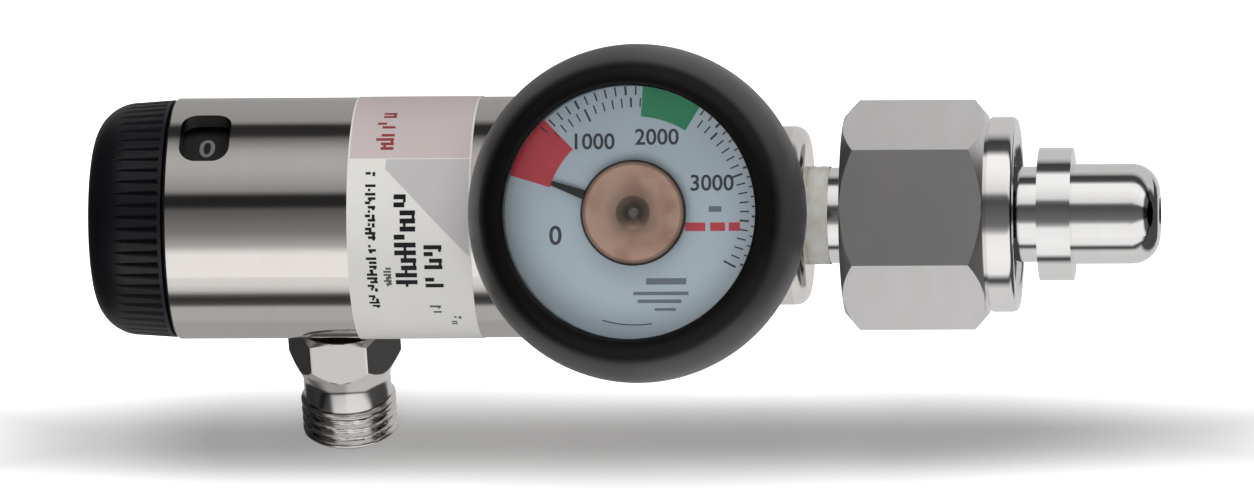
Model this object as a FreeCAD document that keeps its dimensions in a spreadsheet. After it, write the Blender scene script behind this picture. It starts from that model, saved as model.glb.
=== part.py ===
import FreeCAD, Part

import math
import os

import Sketcher

# Click-style oxygen regulator: a piston reducing stage and a turning orifice disc in one round
# body, with a contents gauge, a nut-and-nipple inlet and a threaded outlet.
#
# Frame: millimetres. +X is the main axis, out of the inlet nipple; +Z is up and the outlet points
# along -Z; the gauge faces the user's side, -Y, tilted up. The origin is on the main axis, at the
# front face of the nipple's shoulder, where it seats against a cylinder valve.
#
# Every turned piece is drawn as a half section, first coordinate along its own axis and second
# coordinate its radius. On the main axis the first coordinate runs to the left from the origin.

SIZES = (
    # inlet nipple
    ("nose_length", 12.35, "nipple nose, from its tip to the shoulder"),
    ("nose_radius", 7.15, "radius of the nipple nose"),
    ("nose_round", 4.0, "rounding of the nose tip"),
    ("shoulder_length", 4.8, "length of the nipple shoulder"),
    ("shoulder_radius", 9.5, "radius of the nipple shoulder"),
    ("stem_length", 30.1, "plain stem between shoulder and pipe thread"),
    ("stem_radius", 6.85, "radius of the plain stem"),
    ("thread_tail", 2.9, "pipe thread left showing outside the body"),
    ("pipe_radius", 6.86, "radius of the pipe thread where it enters the body"),
    ("pipe_slope", 0.03125, "loss of thread radius for each millimetre, one in sixteen on diameter"),
    ("pipe_engagement", 13.0, "pipe thread inside the body"),
    ("inlet_bore", 1.6, "radius of the gas passage in the nipple"),
    ("inlet_flare", 1.0, "chamfer of the passage at the nose"),
    ("filter_bore", 4.0, "radius of the filter's pocket at the nipple's inner end"),
    ("filter_pocket", 9.5, "depth of the filter's pocket"),
    ("filter_length", 8.0, "length of the sintered filter"),
    ("filter_wall", 1.5, "wall of the sintered filter"),
    ("clip_thickness", 0.8, "thickness of the filter's retaining ring"),
    ("clip_width", 1.2, "radial width of the filter's retaining ring"),
    # coupling nut
    ("nut_flats", 28.575, "coupling nut across its flats"),
    ("nut_hex_length", 21.0, "length of the nut's hexagon"),
    ("nut_turn", 33.2, "degrees that one flat of the nut faces above the horizontal"),
    ("nut_bevel", 1.8, "length of the turned bevel at each end of the hexagon"),
    ("collar_radius", 13.95, "radius of the nut's round collar"),
    ("collar_length", 3.7, "length of the nut's round collar"),
    ("collar_round", 1.2, "rounding of the collar's front edge"),
    ("nut_gap", 5.25, "space between body and nut when the nut is pushed back"),
    ("nut_lip", 7.9, "thickness of the nut's end wall round the stem"),
    ("nut_thread_radius", 10.9, "minor radius of the nut's thread"),
    ("nut_mouth", 0.9, "chamfer at the nut's mouth"),
    ("nut_play", 0.25, "play between the nut's end wall and the stem"),
    ("ring_section", 0.75, "section radius of the rubber ring in the nut"),
    ("ring_fit", 0.05, "play of the rubber ring on the stem and in its groove"),
    # body
    ("boss_radius", 12.8, "radius of the body's high-pressure end"),
    ("boss_length", 34.7, "length of the body's high-pressure end"),
    ("boss_round", 2.0, "rounding of the boss's front edge"),
    ("body_radius", 17.3, "radius of the main body"),
    ("body_round", 1.0, "rounding of the main body's edge towards the gauge"),
    ("body_bevel", 0.4, "bevel of the main body's edge towards the knob"),
    ("port_depth", 14.0, "depth of the inlet port"),
    ("high_bore", 2.5, "radius of the high-pressure bore"),
    ("gauge_offset", 22.05, "from the boss's front face to the gauge's axis"),
    ("gauge_tilt", 30.0, "degrees that the gauge faces above the horizontal"),
    ("nozzle_offset", 3.85, "from the gauge's axis to the foot of the nozzle"),
    ("nozzle_radius", 3.9, "radius of the nozzle's bore"),
    ("nozzle_length", 4.3, "screwed length of the nozzle"),
    ("seat_height", 1.5, "height of the nozzle's seat"),
    ("seat_radius", 2.0, "radius of the nozzle's seat"),
    ("seat_bore", 0.9, "radius of the nozzle's orifice"),
    ("thread_fit", 0.03, "clearance of pieces that are screwed or pressed together"),
    ("stem_bore", 4.6, "radius of the bore that guides the piston's stem"),
    ("floor_thickness", 7.0, "from the body's step to the floor of the spring chamber"),
    ("bore_step", 0.7, "step from the flow block's bore in to the piston's bore"),
    ("piston_bore_length", 18.2, "length of the piston's bore"),
    ("body_wall", 2.3, "wall of the main body round the flow block"),
    ("vent_radius", 0.8, "radius of the spring chamber's vent"),
    ("vent_offset", 3.0, "from the floor of the spring chamber to its vent"),
    ("window_setback", 5.65, "from the body's knob end to the middle of the number window"),
    ("window_length", 7.2, "number window along the body"),
    ("window_width", 9.0, "number window across the body"),
    ("window_round", 2.4, "corner radius of the number window"),
    ("window_tilt", 72.5, "degrees that the number window faces above the horizontal"),
    # piston stage
    ("sliding_fit", 0.05, "radial clearance of sliding and turning fits"),
    ("piston_lift", 0.8, "distance between seat and pad with the valve open"),
    ("pad_radius", 2.6, "radius of the seat pad"),
    ("pad_thickness", 2.0, "thickness of the seat pad"),
    ("pad_proud", 0.4, "height of the seat pad above the piston's tip"),
    ("tip_radius", 3.9, "radius of the piston's tip"),
    ("tip_length", 3.8, "length of the piston's tip"),
    ("piston_passage", 1.6, "radius of the passage through the piston"),
    ("passage_web", 0.5, "wall between the seat pad and the passage"),
    ("cross_bore", 0.6, "radius of the cross bore behind the seat pad"),
    ("cross_offset", 1.0, "from the end of the passage to the cross bore"),
    ("stem_groove_offset", 1.2, "from the piston's tip to the groove of the stem seal"),
    ("stem_section", 0.7, "section radius of the stem seal"),
    ("spring_gap", 7.0, "space between spring chamber floor and piston head"),
    ("head_thickness", 6.0, "thickness of the piston head"),
    ("head_groove_offset", 2.6, "from the front of the head to its seal groove"),
    ("head_section", 0.9, "section radius of the head seal"),
    ("cup_inner", 7.6, "inner radius of the spring's seat in the head"),
    ("cup_outer", 11.4, "outer radius of the spring's seat in the head"),
    ("cup_depth", 2.0, "depth of the spring's seat in the head"),
    ("main_wire", 0.9, "wire radius of the piston spring"),
    ("main_turns", 3.25, "turns of the piston spring"),
    # flow block and outlet
    ("block_length", 21.0, "length of the flow block"),
    ("block_recess", 10.25, "from the flow block's back to the body's knob end"),
    ("rim_groove_offset", 1.0, "from the block's face to the groove of its seal"),
    ("rim_section", 0.9, "section radius of the block's seal"),
    ("groove_play", 0.2, "width that a seal groove has to spare"),
    ("groove_floor", 0.1, "play between a seal and the floor of its groove"),
    ("shaft_groove_offset", 14.8, "from the block's face to the groove of the shaft seal"),
    ("shaft_section", 0.85, "section radius of the shaft seal"),
    ("outlet_offset", 8.5, "from the block's face to the outlet's axis"),
    ("outlet_floor", 8.0, "from the main axis to the floor of the outlet's port"),
    ("spigot_radius", 4.2, "radius of the outlet's port in the block"),
    ("drill_radius", 2.5, "radius of the cavity under the outlet's port"),
    ("drill_floor", 5.6, "from the main axis to the floor of that cavity"),
    ("port_radius", 0.9, "radius of the metered gas port"),
    ("port_seal_radius", 2.0, "outer radius of the ring that seals the disc"),
    ("port_seal_depth", 1.0, "depth of its recess"),
    ("relief_offset", 8.8, "from the block's face to the relief valve's axis"),
    ("relief_feed", 0.8, "radius of the drilling that feeds the relief valve"),
    ("relief_feed_pitch", 5.0, "distance of that drilling from the main axis"),
    ("relief_seat", 7.0, "from the main axis to the relief valve's seat"),
    ("relief_hole", 1.0, "radius of the relief valve's seat hole"),
    ("relief_bore", 3.0, "radius of the relief valve's bore"),
    ("relief_cap_radius", 3.9, "radius of the relief valve's cap"),
    ("relief_cap_thickness", 3.6, "thickness of the relief valve's cap"),
    ("relief_cap_sink", 0.4, "depth of the cap's outer face under the body's surface"),
    ("relief_vent", 0.9, "radius of the vent in the cap"),
    ("relief_slot", 1.2, "width and depth of the driver slot in the cap"),
    ("relief_lift", 0.8, "travel of the relief valve"),
    ("poppet_face", 0.3, "from the seat to the poppet's face"),
    ("poppet_length", 2.0, "length of the poppet's guide"),
    ("poppet_stem", 1.1, "radius of the poppet's stem"),
    ("poppet_stop", 0.7, "from the poppet's stem to the cap with the valve open"),
    ("relief_pad_radius", 1.9, "radius of the poppet's pad"),
    ("relief_pad_thickness", 0.8, "thickness of the poppet's pad"),
    ("relief_wire", 0.2, "wire radius of the relief spring"),
    ("relief_coil", 2.1, "mean radius of the relief spring"),
    ("relief_turns", 4.0, "turns of the relief spring"),
    ("outlet_flat_depth", 0.4, "depth of the flat that the outlet seats on"),
    ("outlet_flat_radius", 8.6, "radius of that flat"),
    ("outlet_flats", 14.29, "outlet hexagon across its flats"),
    ("outlet_corner", 8.2, "radius that the hexagon's corners are turned down to"),
    ("outlet_hex_length", 6.6, "length of the outlet hexagon"),
    ("outlet_cone", 2.0, "length of the cone below the hexagon"),
    ("outlet_neck", 6.3, "radius of the neck between cone and thread"),
    ("outlet_neck_length", 3.4, "length of that neck"),
    ("outlet_thread", 6.85, "radius of the outlet's thread"),
    ("outlet_thread_length", 6.1, "length of the outlet's thread"),
    ("outlet_bevel", 0.8, "bevel at the end of the outlet's thread"),
    ("outlet_bore", 3.4, "radius of the outlet's socket"),
    ("outlet_bore_depth", 8.0, "depth of the outlet's socket"),
    ("outlet_passage", 2.2, "radius of the passage through the outlet"),
    ("washer_thickness", 1.0, "thickness of the outlet's sealing washer"),
    # flow selector
    ("shaft_radius", 3.0, "radius of the selector shaft"),
    ("shaft_square", 4.2, "width of the square at each end of the shaft"),
    ("shaft_front", 3.3, "from the block's face to the shaft's inner end"),
    ("shaft_tail", 2.9, "shaft inside the knob, beyond the body's end"),
    ("shaft_tap", 1.5, "radius of the tapped hole in the shaft"),
    ("shaft_tap_depth", 8.5, "depth of the tapped hole in the shaft"),
    ("disc_radius", 10.5, "radius of the orifice disc"),
    ("disc_thickness", 1.5, "thickness of the orifice disc"),
    ("disc_gap", 0.4, "gap between the orifice disc and the block"),
    ("orifice_pitch", 6.9, "distance of the orifices from the main axis"),
    ("orifice_largest", 0.47, "radius of the largest orifice"),
    ("orifice_web", 0.5, "thickness of the disc at an orifice"),
    ("orifice_pocket", 0.95, "radius of the pocket before an orifice"),
    ("clip_gap", 0.2, "from the orifice disc to its clip"),
    ("clip_plate", 0.6, "thickness of the disc's clip"),
    ("clip_root", 1.5, "radius of the clip's groove in the shaft"),
    ("clip_radius", 3.4, "radius of the disc's clip"),
    ("clip_mouth", 2.4, "width of the clip's mouth"),
    ("positions", 12.0, "number of flow positions in a turn"),
    ("drum_gap", 0.6, "gap between block and number drum"),
    ("drum_space", 0.8, "space round the number drum in its bore"),
    ("drum_plate", 3.0, "thickness of the drum's click plate"),
    ("drum_wall", 1.6, "wall of the number drum"),
    ("drum_setback", 0.2, "from the drum's end to the body's end"),
    ("click_pitch", 9.0, "distance of the click dimples from the main axis"),
    ("click_depth", 0.75, "depth of a click dimple"),
    ("click_radius", 1.3, "radius of a click dimple"),
    ("ball_radius", 1.5, "radius of the click ball"),
    ("ball_fit", 0.05, "play of the click ball in its hole and to the plate"),
    ("click_hole", 6.5, "depth of the click ball's hole"),
    ("click_wire", 0.18, "wire radius of the click spring"),
    ("click_coil", 1.05, "mean radius of the click spring"),
    ("click_turns", 4.0, "turns of the click spring"),
    ("stop_pitch", 11.6, "distance of the stop pin from the main axis"),
    ("stop_radius", 0.75, "radius of the stop pin"),
    ("stop_depth", 4.0, "length of the stop pin in the block"),
    ("stop_reach", 1.7, "length of the stop pin that stands out of the block"),
    ("stop_track", 1.3, "depth of the stop pin's track in the drum"),
    # knob
    ("knob_gap", 0.3, "gap between body and knob"),
    ("knob_length", 11.65, "length of the knob"),
    ("knob_step", 0.25, "step from the body in to the knob's open end"),
    ("knob_draft", 0.35, "taper of the knob's side, up to its corner"),
    ("knob_round", 6.2, "corner radius of the knob"),
    ("knob_crown", 0.4, "height of the knob's crowned end"),
    ("knob_crown_radius", 40.0, "radius of the knob's crowned end"),
    ("knob_wall", 2.45, "wall of the knob's shell at its open end"),
    ("knob_roof", 5.9, "thickness of the knob's end over the shell"),
    ("knob_spigot", 2.0, "wall of the knob's spigot"),
    ("knob_hub", 5.6, "radius of the knob's hub"),
    ("knob_hub_roof", 4.9, "thickness of the knob's end over the hub"),
    ("knob_rim", 0.5, "plain rim at the knob's open end"),
    ("ribs", 60.0, "number of grooves round the knob"),
    ("rib_depth", 0.7, "depth of a groove"),
    ("rib_width", 1.15, "width of a groove at the surface"),
    ("rib_length", 8.5, "length of a groove"),
    ("cap_radius", 6.3, "radius of the cap in the knob's end"),
    ("cap_thickness", 1.3, "thickness of that cap"),
    ("screw_shank", 1.45, "radius of the knob screw"),
    ("screw_head", 2.9, "head radius of the knob screw"),
    ("screw_head_length", 2.1, "head length of the knob screw"),
    ("screw_socket", 2.5, "hexagon socket of the knob screw across its flats"),
    ("screw_socket_depth", 1.3, "depth of that socket"),
    ("screw_seat", 5.1, "from the body's end to the screw head's seat in the knob"),
    ("screw_well", 3.4, "radius of the well round the screw head"),
    ("screw_reach", 7.3, "screwed length of the knob screw"),
    # gauge, measured along its axis from the main axis
    ("gauge_port", 5.14, "radius of the gauge's port"),
    ("gauge_port_floor", 5.5, "floor of the gauge's port"),
    ("gauge_feed", 1.5, "radius of the drilling that feeds the gauge"),
    ("gauge_square", 11.1, "width of the square on the gauge's socket"),
    ("gauge_square_start", 13.3, "start of that square"),
    ("case_back", 20.5, "back of the gauge's case"),
    ("case_radius", 20.0, "radius of the gauge's case"),
    ("case_wall", 0.8, "wall of the gauge's case"),
    ("case_ledge", 0.8, "width of the ledge that carries the dial"),
    ("case_front", 35.0, "front edge of the gauge's case"),
    ("socket_neck", 5.0, "radius of the socket where it passes the case"),
    ("socket_head", 7.0, "radius of the socket inside the case"),
    ("socket_head_length", 4.7, "length of the socket inside the case"),
    ("socket_bore", 1.2, "radius of the socket's passage"),
    ("dial_back", 30.4, "back of the dial"),
    ("dial_thickness", 0.6, "thickness of the dial"),
    ("dial_hole", 1.3, "radius of the hole in the dial"),
    ("coil_tube_radius", 0.9, "radius of the tube that is coiled"),
    ("coil_radius", 10.0, "mean radius of the coiled pressure tube"),
    ("coil_start", 22.9, "start of the coiled tube's line"),
    ("coil_foot", 3.0, "from the gauge's axis to the end of the tube's foot in the socket"),
    ("coil_ferrule", 1.1, "radius of that foot"),
    ("coil_pitch", 1.9, "pitch of the coiled tube"),
    ("coil_turns", 1.75, "turns of the coiled tube"),
    ("spindle_radius", 0.7, "radius of the pointer's spindle"),
    ("spindle_foot", 24.4, "foot of the spindle in the socket"),
    ("arm_plate", 0.4, "thickness of the spindle's arm"),
    ("arm_width", 2.0, "width of the spindle's arm"),
    ("hub_radius", 7.45, "radius of the pointer's disc"),
    ("hub_back", 32.1, "back of the pointer's disc"),
    ("hub_thickness", 1.2, "thickness of the pointer's disc"),
    ("hub_sleeve", 1.7, "radius of the disc's sleeve"),
    ("hub_sleeve_length", 0.7, "length of the disc's sleeve"),
    ("hub_dimple", 2.4, "radius of the dimple in the disc"),
    ("hub_dimple_depth", 0.8, "depth of the dimple in the disc"),
    ("pointer_plate", 0.4, "thickness of the pointer"),
    ("pointer_reach", 12.4, "length of the pointer from its axis"),
    ("pointer_root", 3.2, "radius of the pointer's root"),
    ("pointer_width", 1.9, "width of the pointer at its root"),
    ("pointer_tip", 0.7, "width of the pointer at its tip"),
    ("pointer_rest", 160.0, "degrees of the pointer at rest, from the inlet's side, seen on the dial"),
    ("lens_thickness", 1.8, "thickness of the gauge's window"),
    ("lens_gap", 0.05, "gap on each side of the gauge's window"),
    ("boot_back", 18.6, "back of the rubber boot"),
    ("boot_hole", 12.0, "radius of the hole in the boot's back"),
    ("boot_wall", 3.95, "thickness of the boot round the gauge's case at its rim"),
    ("boot_rim", 27.0, "station of that largest radius"),
    ("boot_front", 40.0, "front of the boot"),
    ("boot_nose", 3.2, "section radius of the boot's front bead"),
    ("boot_cover", 2.25, "how far the boot's front reaches in over the case"),
    ("boot_lip", 0.7, "from the boot's opening to the middle of its front bead"),
    ("boot_fit", 0.05, "clearance between boot and case"),
    # label
    ("label_setback", 26.5, "from the body's knob end to the label"),
    ("label_length", 17.7, "length of the label along the body"),
    ("label_thickness", 0.12, "thickness of the label"),
    ("label_wrap", 196.0, "degrees that the label wraps round the body"),
)

# Flow of each position after off, in litres a minute; an orifice's area follows its flow.
FLOW_STEPS = (0.5, 1.0, 1.5, 2.0, 3.0, 4.0, 6.0, 8.0, 10.0, 15.0, 25.0)

doc = FreeCAD.newDocument("oxygen_regulator")
sheet = doc.addObject("Spreadsheet::Sheet", "sizes")
for row, (alias, number, note) in enumerate(SIZES, start=1):
    sheet.set(f"A{row}", alias)
    sheet.set(f"B{row}", str(number))
    sheet.set(f"C{row}", note)
    sheet.setAlias(f"B{row}", alias)
doc.recompute()


class Size:
    """A length or angle: its formula in terms of the sheet, and what it comes to now."""

    def __init__(self, formula, value):
        self.formula = formula
        self.value = value

    def joined(self, sign, other, value):
        return Size(f"({self.formula} {sign} {as_size(other).formula})", value)

    def __add__(self, other):
        return self.joined("+", other, self.value + as_size(other).value)

    def __radd__(self, other):
        return as_size(other) + self

    def __sub__(self, other):
        return self.joined("-", other, self.value - as_size(other).value)

    def __rsub__(self, other):
        return as_size(other) - self

    def __mul__(self, other):
        return self.joined("*", other, self.value * as_size(other).value)

    def __rmul__(self, other):
        return as_size(other) * self

    def __truediv__(self, other):
        return self.joined("/", other, self.value / as_size(other).value)

    def __rtruediv__(self, other):
        return as_size(other) / self

    def __neg__(self):
        return 0 - self


class SheetSizes:
    """The sheet's cells by name, as sizes."""

    def __getattr__(self, alias):
        return Size(f"sizes.{alias}", float(sheet.get(alias)))


def as_size(number):
    if isinstance(number, Size):
        return number
    return Size(f"{number:g}", float(number))


def cosine(degrees):
    degrees = as_size(degrees)
    return Size(f"cos({degrees.formula})", math.cos(math.radians(degrees.value)))


def sine(degrees):
    degrees = as_size(degrees)
    return Size(f"sin({degrees.formula})", math.sin(math.radians(degrees.value)))


def root(area):
    area = as_size(area)
    return Size(f"sqrt({area.formula})", math.sqrt(area.value))


size = SheetSizes()
ZERO = as_size(0)
FULL_TURN = 360
DEGREES_IN_RADIAN = 57.29578

# Stations along the main axis, to the left from the origin
boss_face = size.shoulder_length + size.stem_length + size.thread_tail
body_step = boss_face + size.boss_length
nipple_end = boss_face + size.pipe_engagement
port_floor = boss_face + size.port_depth
filter_floor = nipple_end - size.filter_pocket
gauge_station = boss_face + size.gauge_offset
nozzle_foot = gauge_station + size.nozzle_offset
nozzle_top = nozzle_foot + size.nozzle_length
seat_face = nozzle_top + size.seat_height
spring_floor = body_step + size.floor_thickness
pad_face = seat_face + size.piston_lift
tip_end = pad_face + size.pad_proud
tip_shoulder = tip_end + size.tip_length
head_front = spring_floor + size.spring_gap
head_back = head_front + size.head_thickness
block_face = spring_floor + size.piston_bore_length
block_back = block_face + size.block_length
body_end = block_back + size.block_recess
outlet_station = block_face + size.outlet_offset
relief_station = block_face + size.relief_offset
disc_back = block_face - size.disc_gap
disc_front = disc_back - size.disc_thickness
drum_face = block_back + size.drum_gap
drum_end = body_end - size.drum_setback
knob_base = body_end + size.knob_gap
knob_end = knob_base + size.knob_length
nut_back = boss_face - size.nut_gap
nut_collar = nut_back - size.nut_hex_length
nut_front = nut_collar - size.collar_length
nut_wall = nut_back - size.nut_lip
window_station = body_end - size.window_setback
label_end = body_end - size.label_setback
screw_seat = body_end + size.screw_seat

# Radii that follow from the main body's and from the gauge case's
block_bore = size.body_radius - size.body_wall
piston_bore = block_bore - size.bore_step
drum_radius = block_bore - size.drum_space
knob_radius = size.body_radius - size.knob_step
knob_side = knob_radius - size.knob_draft
knob_shell = knob_radius - size.knob_wall
boot_radius = size.case_radius + size.boot_wall
boot_opening = size.case_radius - size.boot_cover

# Distances from the main axis that follow from the main body's radius
outlet_seat = size.body_radius - size.outlet_flat_depth
relief_cap_top = size.body_radius - size.relief_cap_sink
relief_cap_floor = relief_cap_top - size.relief_cap_thickness

# Directions of the axes that cross the main axis, in degrees above the horizontal on the user's
# side: the gauge and the window lean up, the outlet points down, the relief valve to the back.
DOWN = as_size(-90)
BACK = as_size(180)

MAIN_AXIS = FreeCAD.Rotation(FreeCAD.Vector(0, 0, 1), 180)
OUTLET_AXIS = FreeCAD.Rotation(
    FreeCAD.Vector(0, 0, -1), FreeCAD.Vector(1, 0, 0), FreeCAD.Vector(0, -1, 0), "XYZ")
RELIEF_AXIS = FreeCAD.Rotation(
    FreeCAD.Vector(0, 1, 0), FreeCAD.Vector(-1, 0, 0), FreeCAD.Vector(0, 0, 1), "XYZ")
lean = math.radians(size.gauge_tilt.value)
GAUGE_AXIS = FreeCAD.Rotation(
    FreeCAD.Vector(0, -math.cos(lean), math.sin(lean)),
    FreeCAD.Vector(1, 0, 0),
    FreeCAD.Vector(0, math.sin(lean), math.cos(lean)), "XYZ")

pieces = []


def piece(label, axis=MAIN_AXIS, station=ZERO):
    """A body whose first coordinate runs along axis from a station on the main axis."""
    body = doc.addObject("PartDesign::Body", label)
    body.Label = label
    body.Placement = FreeCAD.Placement(FreeCAD.Vector(-station.value, 0, 0), axis)
    body.setExpression("Placement.Base.x", f"-{station.formula}")
    pieces.append(body)
    return body


def sketch_on(body, name, plane="XY_Plane", tilt=None, offset=None):
    """An empty sketch on one of the body's planes. With a tilt it lies across the radial
    direction that many degrees above the horizontal, offset that far out along it."""
    sketch = body.newObject("Sketcher::SketchObject", name)
    support = [part for part in body.Origin.OriginFeatures if part.Role == plane][0]
    sketch.AttachmentSupport = [(support, "")]
    sketch.MapMode = "FlatFace"
    angle = tilt.value if tilt else 0
    turn = FreeCAD.Rotation(FreeCAD.Vector(1, 0, 0), angle)
    away = turn.multVec(FreeCAD.Vector(0, 0, -1)) if tilt else FreeCAD.Vector(0, 0, 1)
    reach = offset.value if offset else 0
    sketch.AttachmentOffset = FreeCAD.Placement(away * reach, turn)
    if tilt:
        sketch.setExpression("AttachmentOffset.Rotation.Angle", tilt.formula)
    if tilt and offset:
        sketch.setExpression("AttachmentOffset.Base.y", (offset * sine(tilt)).formula)
        sketch.setExpression("AttachmentOffset.Base.z", (-(offset * cosine(tilt))).formula)
    elif offset:
        sketch.setExpression("AttachmentOffset.Base.z", offset.formula)
    return sketch


def hold_point(sketch, shape, end, corner):
    """Fixes one point of a sketch at a pair of sizes."""
    for kind, axis, measure in (("DistanceX", -2, corner[0]), ("DistanceY", -1, corner[1])):
        measure = as_size(measure)
        if measure.formula == "0":
            sketch.addConstraint(Sketcher.Constraint("PointOnObject", shape, end, axis))
            continue
        number = sketch.addConstraint(
            Sketcher.Constraint(kind, -1, 1, shape, end, measure.value))
        sketch.setExpression(f"Constraints[{number}]", measure.formula)


def outline(body, name, corners, bends=None, plane="XY_Plane", tilt=None, offset=None):
    """A closed outline through corners, each a pair of sizes. bends gives the radius of the arc
    that leaves a corner, by that corner's number; the arc's centre lies on the outline's left,
    or on its right where the radius is negative."""
    sketch = sketch_on(body, name, plane, tilt, offset)
    bends = bends or {}
    spots = [FreeCAD.Vector(as_size(x).value, as_size(y).value, 0) for x, y in corners]
    ends = []
    for number, start in enumerate(spots):
        stop = spots[(number + 1) % len(spots)]
        if number not in bends:
            sketch.addGeometry(Part.LineSegment(start, stop), False)
            ends.append((1, 2))
            continue
        radius = as_size(bends[number])
        chord = stop - start
        left = FreeCAD.Vector(-chord.y, chord.x, 0).normalize()
        height = math.sqrt(max(radius.value ** 2 - chord.Length ** 2 / 4, 0))
        centre = (start + stop) * 0.5 + left * math.copysign(height, radius.value)
        first, last = (start, stop) if radius.value > 0 else (stop, start)
        angles = [math.atan2((spot - centre).y, (spot - centre).x) for spot in (first, last)]
        circle = Part.Circle(centre, FreeCAD.Vector(0, 0, 1), abs(radius.value))
        arc = sketch.addGeometry(Part.ArcOfCircle(circle, *angles), False)
        ends.append((1, 2) if radius.value > 0 else (2, 1))
        amount = radius if radius.value > 0 else -radius
        held = sketch.addConstraint(Sketcher.Constraint("Radius", arc, amount.value))
        sketch.setExpression(f"Constraints[{held}]", amount.formula)
    for number, (start, stop) in enumerate(ends):
        following = (number + 1) % len(ends)
        sketch.addConstraint(
            Sketcher.Constraint("Coincident", number, stop, following, ends[following][0]))
    for number, corner in enumerate(corners):
        hold_point(sketch, number, ends[number][0], corner)
    return sketch


def circles(body, name, rounds, plane="YZ_Plane", tilt=None, offset=None):
    """Circles in one sketch, each a centre's two sizes and a radius."""
    sketch = sketch_on(body, name, "XZ_Plane" if tilt else plane, tilt, offset)
    for across, up, radius in rounds:
        centre = FreeCAD.Vector(as_size(across).value, as_size(up).value, 0)
        circle = Part.Circle(centre, FreeCAD.Vector(0, 0, 1), as_size(radius).value)
        number = sketch.addGeometry(circle, False)
        hold_point(sketch, number, 3, (across, up))
        held = sketch.addConstraint(
            Sketcher.Constraint("Radius", number, as_size(radius).value))
        sketch.setExpression(f"Constraints[{held}]", as_size(radius).formula)
    return sketch


def polygon(sides, flats, face_angle):
    """Corners of a regular polygon, one face of which looks along face_angle."""
    reach = as_size(flats) / 2 / cosine(180 / sides)
    step = as_size(FULL_TURN) / sides
    first = as_size(face_angle) + step / 2
    return [(reach * cosine(first + step * number), reach * sine(first + step * number))
            for number in range(sides)]


def turned(body, name, sketch, cut=False, angle=None):
    """The sketch turned round the body's axis, added to the body or cut from it."""
    kind = "PartDesign::Groove" if cut else "PartDesign::Revolution"
    feature = body.newObject(kind, name)
    feature.Profile = sketch
    feature.ReferenceAxis = (sketch, ["H_Axis"])
    feature.Angle = FULL_TURN if angle is None else angle.value
    if angle is not None:
        feature.Midplane = True
        feature.setExpression("Angle", angle.formula)
    return feature


def raised(body, name, sketch, length):
    """The sketch raised along its normal."""
    feature = body.newObject("PartDesign::Pad", name)
    feature.Profile = sketch
    feature.Length = length.value
    feature.setExpression("Length", length.formula)
    return feature


def sunk(body, name, sketch, length=None, onward=False, both=False):
    """The sketch cut out of the body, against its normal or, onward, along it; with no length
    it cuts all the way."""
    doc.recompute()
    before = body.Shape.Volume
    feature = body.newObject("PartDesign::Pocket", name)
    feature.Profile = sketch
    feature.Reversed = onward
    if both:
        feature.Midplane = True
    if length is None:
        feature.Type = "ThroughAll"
    else:
        feature.Length = length.value
        feature.setExpression("Length", length.formula)
    doc.recompute()
    if not body.Shape.Volume < before:
        raise RuntimeError(f"{body.Label}: {name} cuts nothing")
    return feature


def ring(body, centre, radius, section):
    """A round-section ring, such as a seal."""
    sketch = circles(body, "section", [(centre, radius, section)], plane="XY_Plane")
    return turned(body, "ring", sketch)


def coil(body, start, length, radius, wire, turns):
    """A wire wound round the body's axis, its line start to start + length."""
    sketch = circles(body, "wire_section", [(start, radius, wire)], plane="XY_Plane")
    doc.recompute()
    feature = body.newObject("PartDesign::AdditiveHelix", "winding")
    feature.Profile = sketch
    feature.ReferenceAxis = (sketch, ["H_Axis"])
    feature.Mode = "pitch-height-angle"
    pitch = length / turns
    feature.Pitch = pitch.value
    feature.Height = length.value
    feature.setExpression("Pitch", pitch.formula)
    feature.setExpression("Height", length.formula)
    return feature


def patterned(body, name, feature, axis, count):
    """Copies of a feature spread evenly round an axis."""
    pattern = body.newObject("PartDesign::PolarPattern", name)
    pattern.Originals = [feature]
    pattern.Axis = axis
    pattern.Angle = FULL_TURN
    pattern.Occurrences = int(round(count.value))
    pattern.setExpression("Occurrences", count.formula)
    body.Tip = pattern
    return pattern


def along_groove(offset, section):
    """Start, end and width of a seal groove that starts at offset."""
    width = 2 * section + size.groove_play
    return offset, offset + width, offset + width / 2


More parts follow.
